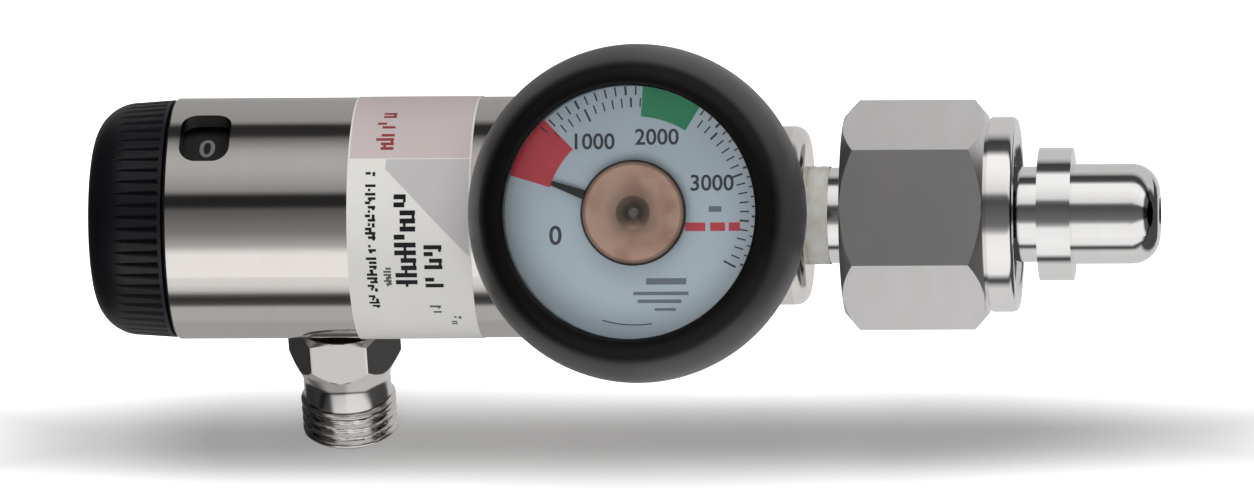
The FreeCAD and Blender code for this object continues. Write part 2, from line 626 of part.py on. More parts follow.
def regulator_body():
    body = piece("regulator_body")
    mouth = size.pipe_radius + size.thread_fit
    inner_end = mouth - size.pipe_slope * size.port_depth
    corners = [
        (boss_face, mouth),
        (port_floor, inner_end),
        (port_floor, size.high_bore),
        (nozzle_foot, size.high_bore),
        (nozzle_foot, size.nozzle_radius),
        (nozzle_top, size.nozzle_radius),
        (nozzle_top, size.stem_bore),
        (spring_floor, size.stem_bore),
        (spring_floor, piston_bore),
        (block_face, piston_bore),
        (block_face, block_bore),
        (body_end, block_bore),
        (body_end, size.body_radius - size.body_bevel),
        (body_end - size.body_bevel, size.body_radius),
        (body_step + size.body_round, size.body_radius),
        (body_step, size.body_radius - size.body_round),
        (body_step, size.boss_radius),
        (boss_face + size.boss_round, size.boss_radius),
        (boss_face, size.boss_radius - size.boss_round),
    ]
    turned(body, "barrel", outline(body, "section", corners,
                                   bends={14: size.body_round, 17: size.boss_round}))
    tilt = size.gauge_tilt
    sunk(body, "gauge_drilling", circles(
        body, "gauge_drilling_round", [(gauge_station, 0, size.gauge_feed)], tilt=tilt))
    sunk(body, "gauge_port", circles(
        body, "gauge_port_round", [(gauge_station, 0, size.gauge_port)],
        tilt=tilt, offset=size.gauge_port_floor))
    sunk(body, "outlet_hole", circles(
        body, "outlet_hole_round", [(outlet_station, 0, size.spigot_radius)], tilt=DOWN))
    sunk(body, "outlet_flat", circles(
        body, "outlet_flat_round", [(outlet_station, 0, size.outlet_flat_radius)],
        tilt=DOWN, offset=outlet_seat))
    sunk(body, "relief_opening", circles(
        body, "relief_round", [(relief_station, 0, size.relief_cap_radius + size.relief_slot / 4)],
        tilt=BACK))
    sunk(body, "vent", circles(
        body, "vent_round", [(spring_floor + size.vent_offset, 0, size.vent_radius)], tilt=BACK))
    left = window_station - size.window_length / 2
    right = window_station + size.window_length / 2
    half = size.window_width / 2
    bend = size.window_round
    window = [
        (left + bend, -half), (right - bend, -half), (right, -half + bend), (right, half - bend),
        (right - bend, half), (left + bend, half), (left, half - bend), (left, -half + bend)]
    sunk(body, "window", outline(body, "window_outline", window,
                                 bends={1: bend, 3: bend, 5: bend, 7: bend},
                                 plane="XZ_Plane", tilt=size.window_tilt))


def inlet_nipple():
    body = piece("inlet_nipple")
    tail_start = boss_face - size.thread_tail
    tail_radius = size.pipe_radius + size.pipe_slope * size.thread_tail
    end_radius = size.pipe_radius - size.pipe_slope * size.pipe_engagement
    tip = -size.nose_length
    corners = [
        (tip, size.inlet_bore + size.inlet_flare),
        (tip + size.inlet_flare, size.inlet_bore),
        (filter_floor, size.inlet_bore),
        (filter_floor, size.filter_bore),
        (nipple_end, size.filter_bore),
        (nipple_end, end_radius),
        (tail_start, tail_radius),
        (tail_start, size.stem_radius),
        (size.shoulder_length, size.stem_radius),
        (size.shoulder_length, size.shoulder_radius),
        (ZERO, size.shoulder_radius),
        (ZERO, size.nose_radius),
        (tip + size.nose_round, size.nose_radius),
        (tip, size.nose_radius - size.nose_round),
    ]
    turned(body, "nipple", outline(body, "section", corners, bends={12: size.nose_round}))


def inlet_filter():
    body = piece("inlet_filter")
    outer = size.filter_bore - size.thread_fit
    end = filter_floor + size.filter_length
    corners = [
        (filter_floor, ZERO),
        (filter_floor + size.filter_wall, ZERO),
        (filter_floor + size.filter_wall, outer - size.filter_wall),
        (end, outer - size.filter_wall),
        (end, outer),
        (filter_floor, outer),
    ]
    turned(body, "thimble", outline(body, "section", corners))


def filter_clip():
    body = piece("filter_clip")
    start = filter_floor + size.filter_length
    outer = size.filter_bore - size.thread_fit
    corners = [
        (start, outer - size.clip_width),
        (start + size.clip_thickness, outer - size.clip_width),
        (start + size.clip_thickness, outer),
        (start, outer),
    ]
    turned(body, "clip", outline(body, "section", corners))


def coupling_nut():
    body = piece("coupling_nut")
    flats = polygon(6, size.nut_flats, size.nut_turn)
    hexagon = outline(body, "hexagon", flats, plane="YZ_Plane", offset=nut_collar)
    raised(body, "bar", hexagon, size.nut_hex_length)
    ring_outer = size.collar_radius
    collar = [
        (nut_front, ZERO),
        (nut_collar, ZERO),
        (nut_collar, ring_outer),
        (nut_front + size.collar_round, ring_outer),
        (nut_front, ring_outer - size.collar_round),
    ]
    turned(body, "collar", outline(body, "collar_section", collar,
                                   bends={3: size.collar_round}))
    corner = size.nut_flats / 2 / cosine(30)
    beyond = corner + size.nut_bevel
    for name, face, inward in (("front", nut_collar, 1), ("back", nut_back, -1)):
        bevel = [
            (face, size.nut_flats / 2),
            (face + size.nut_bevel * inward, corner),
            (face + size.nut_bevel * inward, beyond),
            (face, beyond),
        ]
        turned(body, f"{name}_bevel", outline(body, f"{name}_bevel_section", bevel), cut=True)
    groove_start, groove_end, _ = along_groove(nut_wall + size.nut_lip / 2, size.ring_section)
    lip = size.stem_radius + size.nut_play
    groove = size.stem_radius + 2 * size.ring_fit + 2 * size.ring_section
    bore = [
        (nut_front, ZERO),
        (nut_back, ZERO),
        (nut_back, lip),
        (groove_end, lip),
        (groove_end, groove),
        (groove_start, groove),
        (groove_start, lip),
        (nut_wall, lip),
        (nut_wall, size.nut_thread_radius),
        (nut_front + size.nut_mouth, size.nut_thread_radius),
        (nut_front, size.nut_thread_radius + size.nut_mouth),
    ]
    turned(body, "bore", outline(body, "bore_section", bore), cut=True)


def nut_ring():
    body = piece("nut_ring")
    _, _, middle = along_groove(nut_wall + size.nut_lip / 2, size.ring_section)
    ring(body, middle, size.stem_radius + size.ring_fit + size.ring_section, size.ring_section)


def seat_nozzle():
    body = piece("seat_nozzle")
    outer = size.nozzle_radius - size.thread_fit
    crown = (size.seat_radius + size.seat_bore) / 2
    corners = [
        (nozzle_foot, size.seat_bore),
        (seat_face, size.seat_bore),
        (seat_face, crown),
        (nozzle_top + size.seat_height / 2, size.seat_radius),
        (nozzle_top, size.seat_radius),
        (nozzle_top, outer),
        (nozzle_foot, outer),
    ]
    turned(body, "nozzle", outline(body, "section", corners))


def stem_groove():
    return along_groove(tip_shoulder + size.stem_groove_offset, size.stem_section)


def head_groove():
    return along_groove(head_front + size.head_groove_offset, size.head_section)


def piston():
    body = piece("piston")
    stem = size.stem_bore - size.sliding_fit
    head = piston_bore - size.sliding_fit
    stem_floor = size.stem_bore - size.sliding_fit - 2 * size.stem_section - size.groove_floor
    head_floor = piston_bore - size.sliding_fit - 2 * size.head_section - size.groove_floor
    pad_floor = pad_face + size.pad_thickness
    passage = pad_floor + size.passage_web
    stem_start, stem_end, _ = stem_groove()
    head_start, head_end, _ = head_groove()
    corners = [
        (tip_end, size.pad_radius + size.thread_fit),
        (pad_floor, size.pad_radius + size.thread_fit),
        (pad_floor, ZERO),
        (passage, ZERO),
        (passage, size.piston_passage),
        (head_back, size.piston_passage),
        (head_back, head),
        (head_end, head),
        (head_end, head_floor),
        (head_start, head_floor),
        (head_start, head),
        (head_front, head),
        (head_front, size.cup_outer),
        (head_front + size.cup_depth, size.cup_outer),
        (head_front + size.cup_depth, size.cup_inner),
        (head_front, size.cup_inner),
        (head_front, stem),
        (stem_end, stem),
        (stem_end, stem_floor),
        (stem_start, stem_floor),
        (stem_start, stem),
        (tip_shoulder, stem),
        (tip_shoulder, size.tip_radius),
        (tip_end, size.tip_radius),
    ]
    turned(body, "piston_turning", outline(body, "section", corners))
    cross = passage + size.cross_offset
    sunk(body, "cross_bores", circles(
        body, "cross_round", [(cross, 0, size.cross_bore)], plane="XZ_Plane"), both=True)


def piston_stem_seal():
    body = piece("piston_stem_seal")
    _, _, middle = stem_groove()
    ring(body, middle, size.stem_bore - size.sliding_fit - size.stem_section, size.stem_section)


def piston_head_seal():
    body = piece("piston_head_seal")
    _, _, middle = head_groove()
    ring(body, middle, piston_bore - size.sliding_fit - size.head_section, size.head_section)


def seat_pad():
    body = piece("seat_pad")
    disc = circles(body, "disc", [(0, 0, size.pad_radius)], offset=pad_face)
    raised(body, "pad", disc, size.pad_thickness)


def piston_spring():
    body = piece("piston_spring")
    radius = (size.cup_inner + size.cup_outer) / 2
    length = size.spring_gap + size.cup_depth - 2 * size.main_wire
    coil(body, spring_floor + size.main_wire, length, radius, size.main_wire, size.main_turns)


def rim_groove():
    return along_groove(block_face + size.rim_groove_offset, size.rim_section)


def shaft_groove():
    return along_groove(block_face + size.shaft_groove_offset, size.shaft_section)


def flow_block():
    body = piece("flow_block")
    outer = block_bore - size.thread_fit
    bore = size.shaft_radius + size.sliding_fit
    rim_start, rim_end, _ = rim_groove()
    rim_floor = outer - 2 * size.rim_section - size.groove_floor
    shaft_start, shaft_end, _ = shaft_groove()
    shaft_floor = bore + 2 * size.shaft_section + size.groove_floor
    corners = [
        (block_face, bore),
        (shaft_start, bore),
        (shaft_start, shaft_floor),
        (shaft_end, shaft_floor),
        (shaft_end, bore),
        (block_back, bore),
        (block_back, outer),
        (rim_end, outer),
        (rim_end, rim_floor),
        (rim_start, rim_floor),
        (rim_start, outer),
        (block_face, outer),
    ]
    turned(body, "block", outline(body, "section", corners))
    sunk(body, "outlet_cavity", circles(
        body, "cavity_round", [(outlet_station, 0, size.drill_radius)],
        tilt=DOWN, offset=size.drill_floor))
    sunk(body, "outlet_port", circles(
        body, "outlet_port_round", [(outlet_station, 0, size.spigot_radius)],
        tilt=DOWN, offset=size.outlet_floor))
    pitch = -size.orifice_pitch
    sunk(body, "metered_port", circles(
        body, "metered_round", [(0, pitch, size.port_radius)], offset=outlet_station))
    sunk(body, "seal_recess", circles(
        body, "recess_round", [(0, pitch, size.port_seal_radius + size.thread_fit)],
        offset=block_face + size.port_seal_depth))
    sunk(body, "relief_feed", circles(
        body, "feed_round", [(-size.relief_feed_pitch, 0, size.relief_feed)],
        offset=relief_station))
    sunk(body, "relief_seat_hole", circles(
        body, "seat_hole_round", [(relief_station, 0, size.relief_hole)],
        tilt=BACK, offset=size.relief_feed_pitch))
    sunk(body, "relief_bore", circles(
        body, "relief_bore_round", [(relief_station, 0, size.relief_bore)],
        tilt=BACK, offset=size.relief_seat))
    sunk(body, "relief_thread", circles(
        body, "relief_thread_round", [(relief_station, 0, size.relief_cap_radius)],
        tilt=BACK, offset=relief_cap_floor))
    click_floor = block_back - size.click_hole
    sunk(body, "click_hole", circles(
        body, "click_round", [(0, size.click_pitch, size.ball_radius + size.ball_fit)],
        offset=click_floor), onward=True)
    sunk(body, "stop_hole", circles(
        body, "stop_round", [(size.stop_pitch, 0, size.stop_radius)],
        offset=block_back - size.stop_depth), onward=True)


def block_seal():
    body = piece("block_seal")
    _, _, middle = rim_groove()
    radius = block_bore - size.thread_fit - size.rim_section
    ring(body, middle, radius, size.rim_section)


def shaft_seal():
    body = piece("shaft_seal")
    _, _, middle = shaft_groove()
    radius = size.shaft_radius + size.sliding_fit + size.shaft_section
    ring(body, middle, radius, size.shaft_section)


def port_seal():
    body = piece("port_seal")
    pitch = -size.orifice_pitch
    start = disc_back + size.sliding_fit
    sketch = circles(body, "ring", [
        (0, pitch, size.port_seal_radius), (0, pitch, size.port_radius)], offset=start)
    raised(body, "tube", sketch, block_face + size.port_seal_depth - start)


def outlet_fitting():
    body = piece("outlet_fitting", OUTLET_AXIS, outlet_station)
    spigot = size.spigot_radius - size.thread_fit
    foot = size.outlet_floor + size.washer_thickness
    hex_end = outlet_seat + size.outlet_hex_length
    cone_end = hex_end + size.outlet_cone
    neck_end = cone_end + size.outlet_neck_length
    end = neck_end + size.outlet_thread_length
    corners = [
        (foot, size.outlet_passage),
        (end - size.outlet_bore_depth, size.outlet_passage),
        (end - size.outlet_bore_depth, size.outlet_bore),
        (end, size.outlet_bore),
        (end, size.outlet_thread - size.outlet_bevel),
        (end - size.outlet_bevel, size.outlet_thread),
        (neck_end + size.outlet_bevel / 2, size.outlet_thread),
        (neck_end, size.outlet_neck),
        (cone_end, size.outlet_neck),
        (hex_end, size.outlet_flats / 2),
        (outlet_seat, size.outlet_flats / 2),
        (outlet_seat, spigot),
        (foot, spigot),
    ]
    turned(body, "turning", outline(body, "section", corners))
    face = as_size(90)
    outer = polygon(6, size.outlet_flats, face)
    hexagon = outline(body, "hexagon", outer, plane="YZ_Plane", offset=outlet_seat)
    number = hexagon.addGeometry(
        Part.Circle(FreeCAD.Vector(), FreeCAD.Vector(0, 0, 1), spigot.value), False)
    hold_point(hexagon, number, 3, (ZERO, ZERO))
    held = hexagon.addConstraint(Sketcher.Constraint("Radius", number, spigot.value))
    hexagon.setExpression(f"Constraints[{held}]", spigot.formula)
    raised(body, "hex_bar", hexagon, size.outlet_hex_length)
    corner = size.outlet_flats / 2 / cosine(30)
    bevel = corner - size.outlet_flats / 2
    turning = [
        (outlet_seat, size.outlet_corner),
        (hex_end - bevel, size.outlet_corner),
        (hex_end, size.outlet_flats / 2),
        (hex_end, corner + bevel),
        (outlet_seat, corner + bevel),
    ]
    turned(body, "turned_corners", outline(body, "corner_section", turning), cut=True)


def outlet_seal():
    body = piece("outlet_seal", OUTLET_AXIS, outlet_station)
    washer = circles(body, "washer", [
        (0, 0, size.spigot_radius - size.thread_fit), (0, 0, size.drill_radius)],
        offset=size.outlet_floor)
    raised(body, "washer_plate", washer, size.washer_thickness)


def relief_poppet():
    body = piece("relief_poppet", RELIEF_AXIS, relief_station)
    face = size.relief_seat + size.poppet_face
    pad_floor = size.relief_seat + size.relief_pad_thickness
    top = face + size.poppet_length
    stem_end = relief_cap_floor - size.relief_lift - size.poppet_stop
    corners = [
        (pad_floor, ZERO),
        (stem_end, ZERO),
        (stem_end, size.poppet_stem),
        (top, size.poppet_stem),
        (top, size.relief_bore - 2 * size.sliding_fit),
        (face, size.relief_bore - 2 * size.sliding_fit),
        (face, size.relief_pad_radius + size.thread_fit),
        (pad_floor, size.relief_pad_radius + size.thread_fit),
    ]
    turned(body, "poppet", outline(body, "section", corners))


def relief_pad():
    body = piece("relief_pad", RELIEF_AXIS, relief_station)
    disc = circles(body, "disc", [(0, 0, size.relief_pad_radius)], offset=size.relief_seat)
    raised(body, "pad", disc, size.relief_pad_thickness)


def relief_spring():
    body = piece("relief_spring", RELIEF_AXIS, relief_station)
    foot = size.relief_seat + size.poppet_face + size.poppet_length + size.relief_wire
    length = relief_cap_floor - size.relief_wire - foot
    coil(body, foot, length, size.relief_coil, size.relief_wire, size.relief_turns)


def relief_cap():
    body = piece("relief_cap", RELIEF_AXIS, relief_station)
    outer = size.relief_cap_radius - size.thread_fit
    corners = [
        (relief_cap_floor, size.relief_vent),
        (relief_cap_top, size.relief_vent),
        (relief_cap_top, outer),
        (relief_cap_floor, outer),
    ]
    turned(body, "cap", outline(body, "section", corners))
    half = size.relief_slot / 2
    slot = [(-outer, -half), (outer, -half), (outer, half), (-outer, half)]
    sketch = outline(body, "slot_outline", slot, plane="YZ_Plane", offset=relief_cap_top)
    sunk(body, "slot", sketch, length=size.relief_slot)


def selector_shaft():
    body = piece("selector_shaft")
    start = block_face - size.shaft_front
    end = body_end + size.shaft_tail
    round_bar = circles(body, "round_bar", [(0, 0, size.shaft_radius)], offset=disc_back)
    raised(body, "bearing", round_bar, drum_face - disc_back)
    square = polygon(4, size.shaft_square, ZERO)
    front = outline(body, "front_square", square, plane="YZ_Plane", offset=start)
    raised(body, "disc_drive", front, disc_back - start)
    back = outline(body, "back_square", square, plane="YZ_Plane", offset=drum_face)
    raised(body, "knob_drive", back, end - drum_face)
    groove_end = disc_front - size.clip_gap + size.sliding_fit
    groove_start = groove_end - size.clip_plate - 2 * size.sliding_fit
    groove = [
        (groove_start, size.clip_root),
        (groove_end, size.clip_root),
        (groove_end, size.clip_radius),
        (groove_start, size.clip_radius),
    ]
    turned(body, "clip_groove", outline(body, "groove_section", groove), cut=True)
    sunk(body, "tapped_hole", circles(
        body, "tap_round", [(0, 0, size.shaft_tap)], offset=end - size.shaft_tap_depth),
        onward=True)


def orifice_disc():
    body = piece("orifice_disc")
    plate = circles(body, "plate", [(0, 0, size.disc_radius)], offset=disc_front)
    raised(body, "disc", plate, size.disc_thickness)
    hole = polygon(4, size.shaft_square + 2 * size.thread_fit, ZERO)
    sunk(body, "drive_hole", outline(body, "square", hole, plane="YZ_Plane", offset=disc_back))
    step = FULL_TURN / size.positions
    pockets = []
    orifices = []
    for number, flow in enumerate(FLOW_STEPS, start=1):
        angle = DOWN - step * number
        across = size.orifice_pitch * cosine(angle)
        up = size.orifice_pitch * sine(angle)
        share = math.sqrt(flow / FLOW_STEPS[-1])
        pockets.append((across, up, size.orifice_pocket))
        orifices.append((across, up, size.orifice_largest * round(share, 3)))
    sunk(body, "pockets", circles(body, "pocket_rounds", pockets,
                                  offset=disc_back - size.orifice_web))
    sunk(body, "orifices", circles(body, "orifice_rounds", orifices, offset=disc_back))


def disc_clip():
    body = piece("disc_clip")
    end = disc_front - size.clip_gap
    start = end - size.clip_plate
    plate = circles(body, "plate", [
        (0, 0, size.clip_radius), (0, 0, size.clip_root + size.sliding_fit)], offset=start)
    raised(body, "clip", plate, size.clip_plate)
    half = size.clip_mouth / 2
    mouth = [(ZERO, -half), (size.clip_radius, -half), (size.clip_radius, half), (ZERO, half)]
    sunk(body, "mouth", outline(body, "mouth_outline", mouth, plane="YZ_Plane", offset=end))


def number_drum():
    body = piece("number_drum")
    plate_end = drum_face + size.drum_plate
    inner = drum_radius - size.drum_wall
    corners = [
        (drum_face, ZERO),
        (plate_end, ZERO),
        (plate_end, inner),
        (drum_end, inner),
        (drum_end, drum_radius),
        (drum_face, drum_radius),
    ]
    turned(body, "cup", outline(body, "section", corners))
    hole = polygon(4, size.shaft_square + 2 * size.thread_fit, ZERO)
    sunk(body, "drive_hole", outline(body, "square", hole, plane="YZ_Plane", offset=plate_end))
    play = (size.stop_radius + size.sliding_fit) / size.stop_pitch * DEGREES_IN_RADIAN
    travel = FULL_TURN - FULL_TURN / size.positions
    sweep = travel + 2 * play
    start = size.stop_pitch - size.stop_radius - size.sliding_fit
    end = size.stop_pitch + size.stop_radius + size.sliding_fit
    track = [
        (drum_face, start), (drum_face + size.stop_track, start),
        (drum_face + size.stop_track, end), (drum_face, end)]
    section = outline(body, "track_section", track, plane="XY_Plane")
    middle = -(travel / 2)
    section.AttachmentOffset = FreeCAD.Placement(
        FreeCAD.Vector(), FreeCAD.Rotation(FreeCAD.Vector(1, 0, 0), middle.value))
    section.setExpression("AttachmentOffset.Rotation.Angle", middle.formula)
    turned(body, "stop_track", section, cut=True, angle=sweep)
    lip = size.click_pitch + size.click_radius
    dimple = [
        (drum_face, size.click_pitch), (drum_face + size.click_depth, size.click_pitch),
        (drum_face, lip)]
    dimple_sketch = outline(body, "dimple_section", dimple, plane="XZ_Plane")
    axis = dimple_sketch.addGeometry(Part.LineSegment(
        FreeCAD.Vector(drum_face.value, size.click_pitch.value, 0),
        FreeCAD.Vector((drum_face + size.click_depth).value, size.click_pitch.value, 0)), True)
    hold_point(dimple_sketch, axis, 1, dimple[0])
    hold_point(dimple_sketch, axis, 2, dimple[1])
    cut = body.newObject("PartDesign::Groove", "dimple")
    cut.Profile = dimple_sketch
    cut.ReferenceAxis = (dimple_sketch, ["Axis0"])
    cut.Angle = FULL_TURN
    doc.recompute()
    patterned(body, "dimples", cut, (dimple_sketch, ["H_Axis"]), size.positions)


def flow_knob():
    body = piece("flow_knob")
    front = drum_face + size.drum_plate + size.sliding_fit
    spigot = drum_radius - size.drum_wall - size.thread_fit
    cap_floor = knob_end - size.cap_thickness - size.sliding_fit
    crown_edge = knob_end - size.knob_crown
    side = crown_edge - size.knob_round
    corners = [
        (front, ZERO),
        (screw_seat, ZERO),
        (screw_seat, size.screw_well),
        (cap_floor, size.screw_well),
        (cap_floor, size.cap_radius),
        (knob_end, size.cap_radius),
        (crown_edge, knob_side - size.knob_round),
        (side, knob_side),
        (knob_base, knob_radius),
        (knob_base, knob_shell),
        (knob_end - size.knob_roof, knob_shell),
        (knob_end - size.knob_roof, spigot),
        (front, spigot),
        (front, spigot - size.knob_spigot),
        (knob_end - size.knob_hub_roof, spigot - size.knob_spigot),
        (knob_end - size.knob_hub_roof, size.knob_hub),
        (front, size.knob_hub),
    ]
    turned(body, "moulding", outline(
        body, "section", corners, bends={5: size.knob_crown_radius, 6: size.knob_round}))
    sunk(body, "screw_hole", circles(
        body, "screw_round", [(0, 0, size.shaft_tap + size.sliding_fit)], offset=screw_seat))
    hole = polygon(4, size.shaft_square + 2 * size.thread_fit, ZERO)
    hole_end = body_end + size.shaft_tail + size.sliding_fit
    sunk(body, "drive_hole", outline(body, "square", hole, plane="YZ_Plane", offset=hole_end))
    slope = (knob_radius - knob_side) / (knob_base - side)
    depth_end = knob_radius + slope * size.knob_rim - size.rib_depth
    beyond = knob_radius + size.rib_depth
    half = size.rib_width / 2 * (beyond - depth_end) / size.rib_depth
    notch = [(depth_end, ZERO), (beyond, -half), (beyond, half)]
    notch_sketch = outline(body, "rib_notch", notch, plane="YZ_Plane",
                           offset=knob_base + size.knob_rim)
    cut = sunk(body, "rib_groove", notch_sketch, length=size.rib_length, onward=True)
    patterned(body, "rib_grooves", cut, (notch_sketch, ["N_Axis"]), size.ribs)


def knob_cap():
    body = piece("knob_cap")
    start = knob_end - size.cap_thickness
    outer = size.cap_radius - size.thread_fit
    corners = [(start, ZERO), (knob_end, ZERO), (knob_end, outer), (start, outer)]
    turned(body, "cap", outline(body, "section", corners))


def knob_screw():
    body = piece("knob_screw")
    tip = body_end + size.shaft_tail - size.screw_reach
    top = screw_seat + size.screw_head_length
    corners = [
        (tip, ZERO), (top, ZERO), (top, size.screw_head), (screw_seat, size.screw_head),
        (screw_seat, size.screw_shank), (tip, size.screw_shank)]
    turned(body, "screw", outline(body, "section", corners))
    socket = polygon(6, size.screw_socket, ZERO)
    sunk(body, "socket", outline(body, "socket_outline", socket, plane="YZ_Plane", offset=top),
         length=size.screw_socket_depth)


def detent_ball():
    ball = doc.addObject("Part::Sphere", "detent_ball")
    ball.Label = "detent_ball"
    ball.Radius = size.ball_radius.value
    ball.setExpression("Radius", size.ball_radius.formula)
    station = drum_face - size.ball_fit - size.ball_radius
    ball.Placement = FreeCAD.Placement(
        FreeCAD.Vector(-station.value, 0, size.click_pitch.value), MAIN_AXIS)
    ball.setExpression("Placement.Base.x", f"-{station.formula}")
    ball.setExpression("Placement.Base.z", size.click_pitch.formula)
    pieces.append(ball)


def detent_spring():
    body = piece("detent_spring")
    body.Placement.Base.z = size.click_pitch.value
    body.setExpression("Placement.Base.z", size.click_pitch.formula)
    foot = block_back - size.click_hole + size.click_wire
    ball = drum_face - size.ball_fit - size.ball_radius
    touch = root(size.ball_radius * size.ball_radius - size.click_coil * size.click_coil)
    length = ball - touch - 2 * size.click_wire - foot
    coil(body, foot, length, size.click_coil, size.click_wire, size.click_turns)


def stop_pin():
    body = piece("stop_pin")
    start = block_back - size.stop_depth
    pin = circles(body, "pin", [(size.stop_pitch, 0, size.stop_radius)], offset=start)
    raised(body, "pin_bar", pin, size.stop_depth + size.stop_reach)


def gauge_socket():
    body = piece("gauge_socket", GAUGE_AXIS, gauge_station)
    thread = size.gauge_port - size.thread_fit
    foot = size.gauge_port_floor
    head_end = size.case_back + size.case_wall + size.socket_head_length
    corners = [
        (foot, size.socket_bore),
        (size.coil_start, size.socket_bore),
        (size.coil_start, ZERO),
        (size.spindle_foot - size.sliding_fit, ZERO),
        (size.spindle_foot - size.sliding_fit, size.spindle_radius + size.sliding_fit),
        (head_end, size.spindle_radius + size.sliding_fit),
        (head_end, size.socket_head),
        (size.case_back + size.case_wall, size.socket_head),
        (size.case_back + size.case_wall, size.socket_neck),
        (size.gauge_square_start, size.socket_neck),
        (size.gauge_square_start, thread),
        (foot, thread),
    ]
    turned(body, "turning", outline(body, "section", corners))
    square = outline(body, "square", polygon(4, size.gauge_square, ZERO),
                     plane="YZ_Plane", offset=size.gauge_square_start)
    number = square.addGeometry(
        Part.Circle(FreeCAD.Vector(), FreeCAD.Vector(0, 0, 1), size.socket_bore.value), False)
    hold_point(square, number, 3, (ZERO, ZERO))
    held = square.addConstraint(
        Sketcher.Constraint("Radius", number, size.socket_bore.value))
    square.setExpression(f"Constraints[{held}]", size.socket_bore.formula)
    raised(body, "wrench_square", square, size.case_back - size.gauge_square_start)
    sunk(body, "coil_hole", circles(
        body, "coil_hole_round", [(size.coil_start, 0, size.coil_ferrule + size.thread_fit)],
        tilt=ZERO, offset=size.coil_foot - size.thread_fit))
    sunk(body, "coil_feed", circles(
        body, "coil_feed_round", [(size.coil_start, 0, size.coil_tube_radius / 2)], tilt=ZERO))


def gauge_case():
    body = piece("gauge_case", GAUGE_AXIS, gauge_station)
    inner = size.case_radius - size.case_wall
    ledge = inner - size.case_ledge
    floor = size.case_back + size.case_wall
    corners = [
        (size.case_back, size.socket_neck + size.thread_fit),
        (floor, size.socket_neck + size.thread_fit),
        (floor, ledge),
        (size.dial_back, ledge),
        (size.dial_back, inner),
        (size.case_front, inner),
        (size.case_front, size.case_radius),
        (size.case_back, size.case_radius),
    ]
    turned(body, "cup", outline(body, "section", corners))


def bourdon_coil():
    body = piece("bourdon_coil", GAUGE_AXIS, gauge_station)
    length = size.coil_pitch * size.coil_turns
    coil(body, size.coil_start, length, size.coil_radius, size.coil_tube_radius, size.coil_turns)
    foot = circles(body, "foot_round", [(size.coil_start, 0, size.coil_ferrule)],
                   tilt=ZERO, offset=size.coil_radius)
    raised(body, "foot", foot, size.coil_radius - size.coil_foot)


def gauge_dial():
    body = piece("gauge_dial", GAUGE_AXIS, gauge_station)
    outer = size.case_radius - size.case_wall - size.thread_fit
    disc = circles(body, "disc", [(0, 0, outer), (0, 0, size.dial_hole)], offset=size.dial_back)
    raised(body, "plate", disc, size.dial_thickness)


def gauge_spindle():
    body = piece("gauge_spindle", GAUGE_AXIS, gauge_station)
    arm_start = size.coil_start + size.coil_pitch * size.coil_turns + size.coil_tube_radius
    arm_start = arm_start + size.sliding_fit * 4
    hub_top = size.hub_back + size.hub_thickness - size.hub_dimple_depth
    bar = circles(body, "bar", [(0, 0, size.spindle_radius)], offset=size.spindle_foot)
    raised(body, "spindle", bar, hub_top - size.spindle_foot)
    half = size.arm_width / 2
    reach = size.coil_radius + size.coil_tube_radius
    arm = [(-half, -reach), (half, -reach), (half, half), (-half, half)]
    sketch = outline(body, "arm_outline", arm, plane="YZ_Plane", offset=arm_start)
    raised(body, "arm", sketch, size.arm_plate)


def pointer_hub():
    body = piece("pointer_hub", GAUGE_AXIS, gauge_station)
    top = size.hub_back + size.hub_thickness
    bore = size.spindle_radius + size.thread_fit
    sleeve_foot = size.hub_back - size.hub_sleeve_length
    corners = [
        (sleeve_foot, bore),
        (top - size.hub_dimple_depth, bore),
        (top, size.hub_dimple),
        (top, size.hub_radius - size.hub_thickness / 4),
        (top - size.hub_thickness / 4, size.hub_radius),
        (size.hub_back, size.hub_radius),
        (size.hub_back, size.hub_sleeve),
        (sleeve_foot, size.hub_sleeve),
    ]
    turned(body, "disc", outline(body, "section", corners))


def gauge_pointer():
    body = piece("gauge_pointer", GAUGE_AXIS, gauge_station)
    start = size.hub_back - size.pointer_plate - size.sliding_fit
    washer = circles(body, "washer", [(0, 0, size.pointer_root)], offset=start)
    raised(body, "root", washer, size.pointer_plate)
    half = size.pointer_width / 2
    tip = size.pointer_tip / 2
    blade = []
    for reach, aside in ((ZERO, -half), (size.pointer_root, -half), (size.pointer_reach, -tip),
                         (size.pointer_reach, tip), (size.pointer_root, half), (ZERO, half)):
        angle = size.pointer_rest
        blade.append((reach * cosine(angle) - aside * sine(angle),
                      reach * sine(angle) + aside * cosine(angle)))
    sketch = outline(body, "blade_outline", blade, plane="YZ_Plane", offset=start)
    raised(body, "blade", sketch, size.pointer_plate)
    sunk(body, "eye", circles(body, "eye_round", [
        (0, 0, size.hub_sleeve + size.thread_fit)], offset=start + size.pointer_plate))


def gauge_lens():
    body = piece("gauge_lens", GAUGE_AXIS, gauge_station)
    disc = circles(body, "disc", [(0, 0, size.case_radius)],
                   offset=size.case_front + size.lens_gap)
    raised(body, "window", disc, size.lens_thickness)


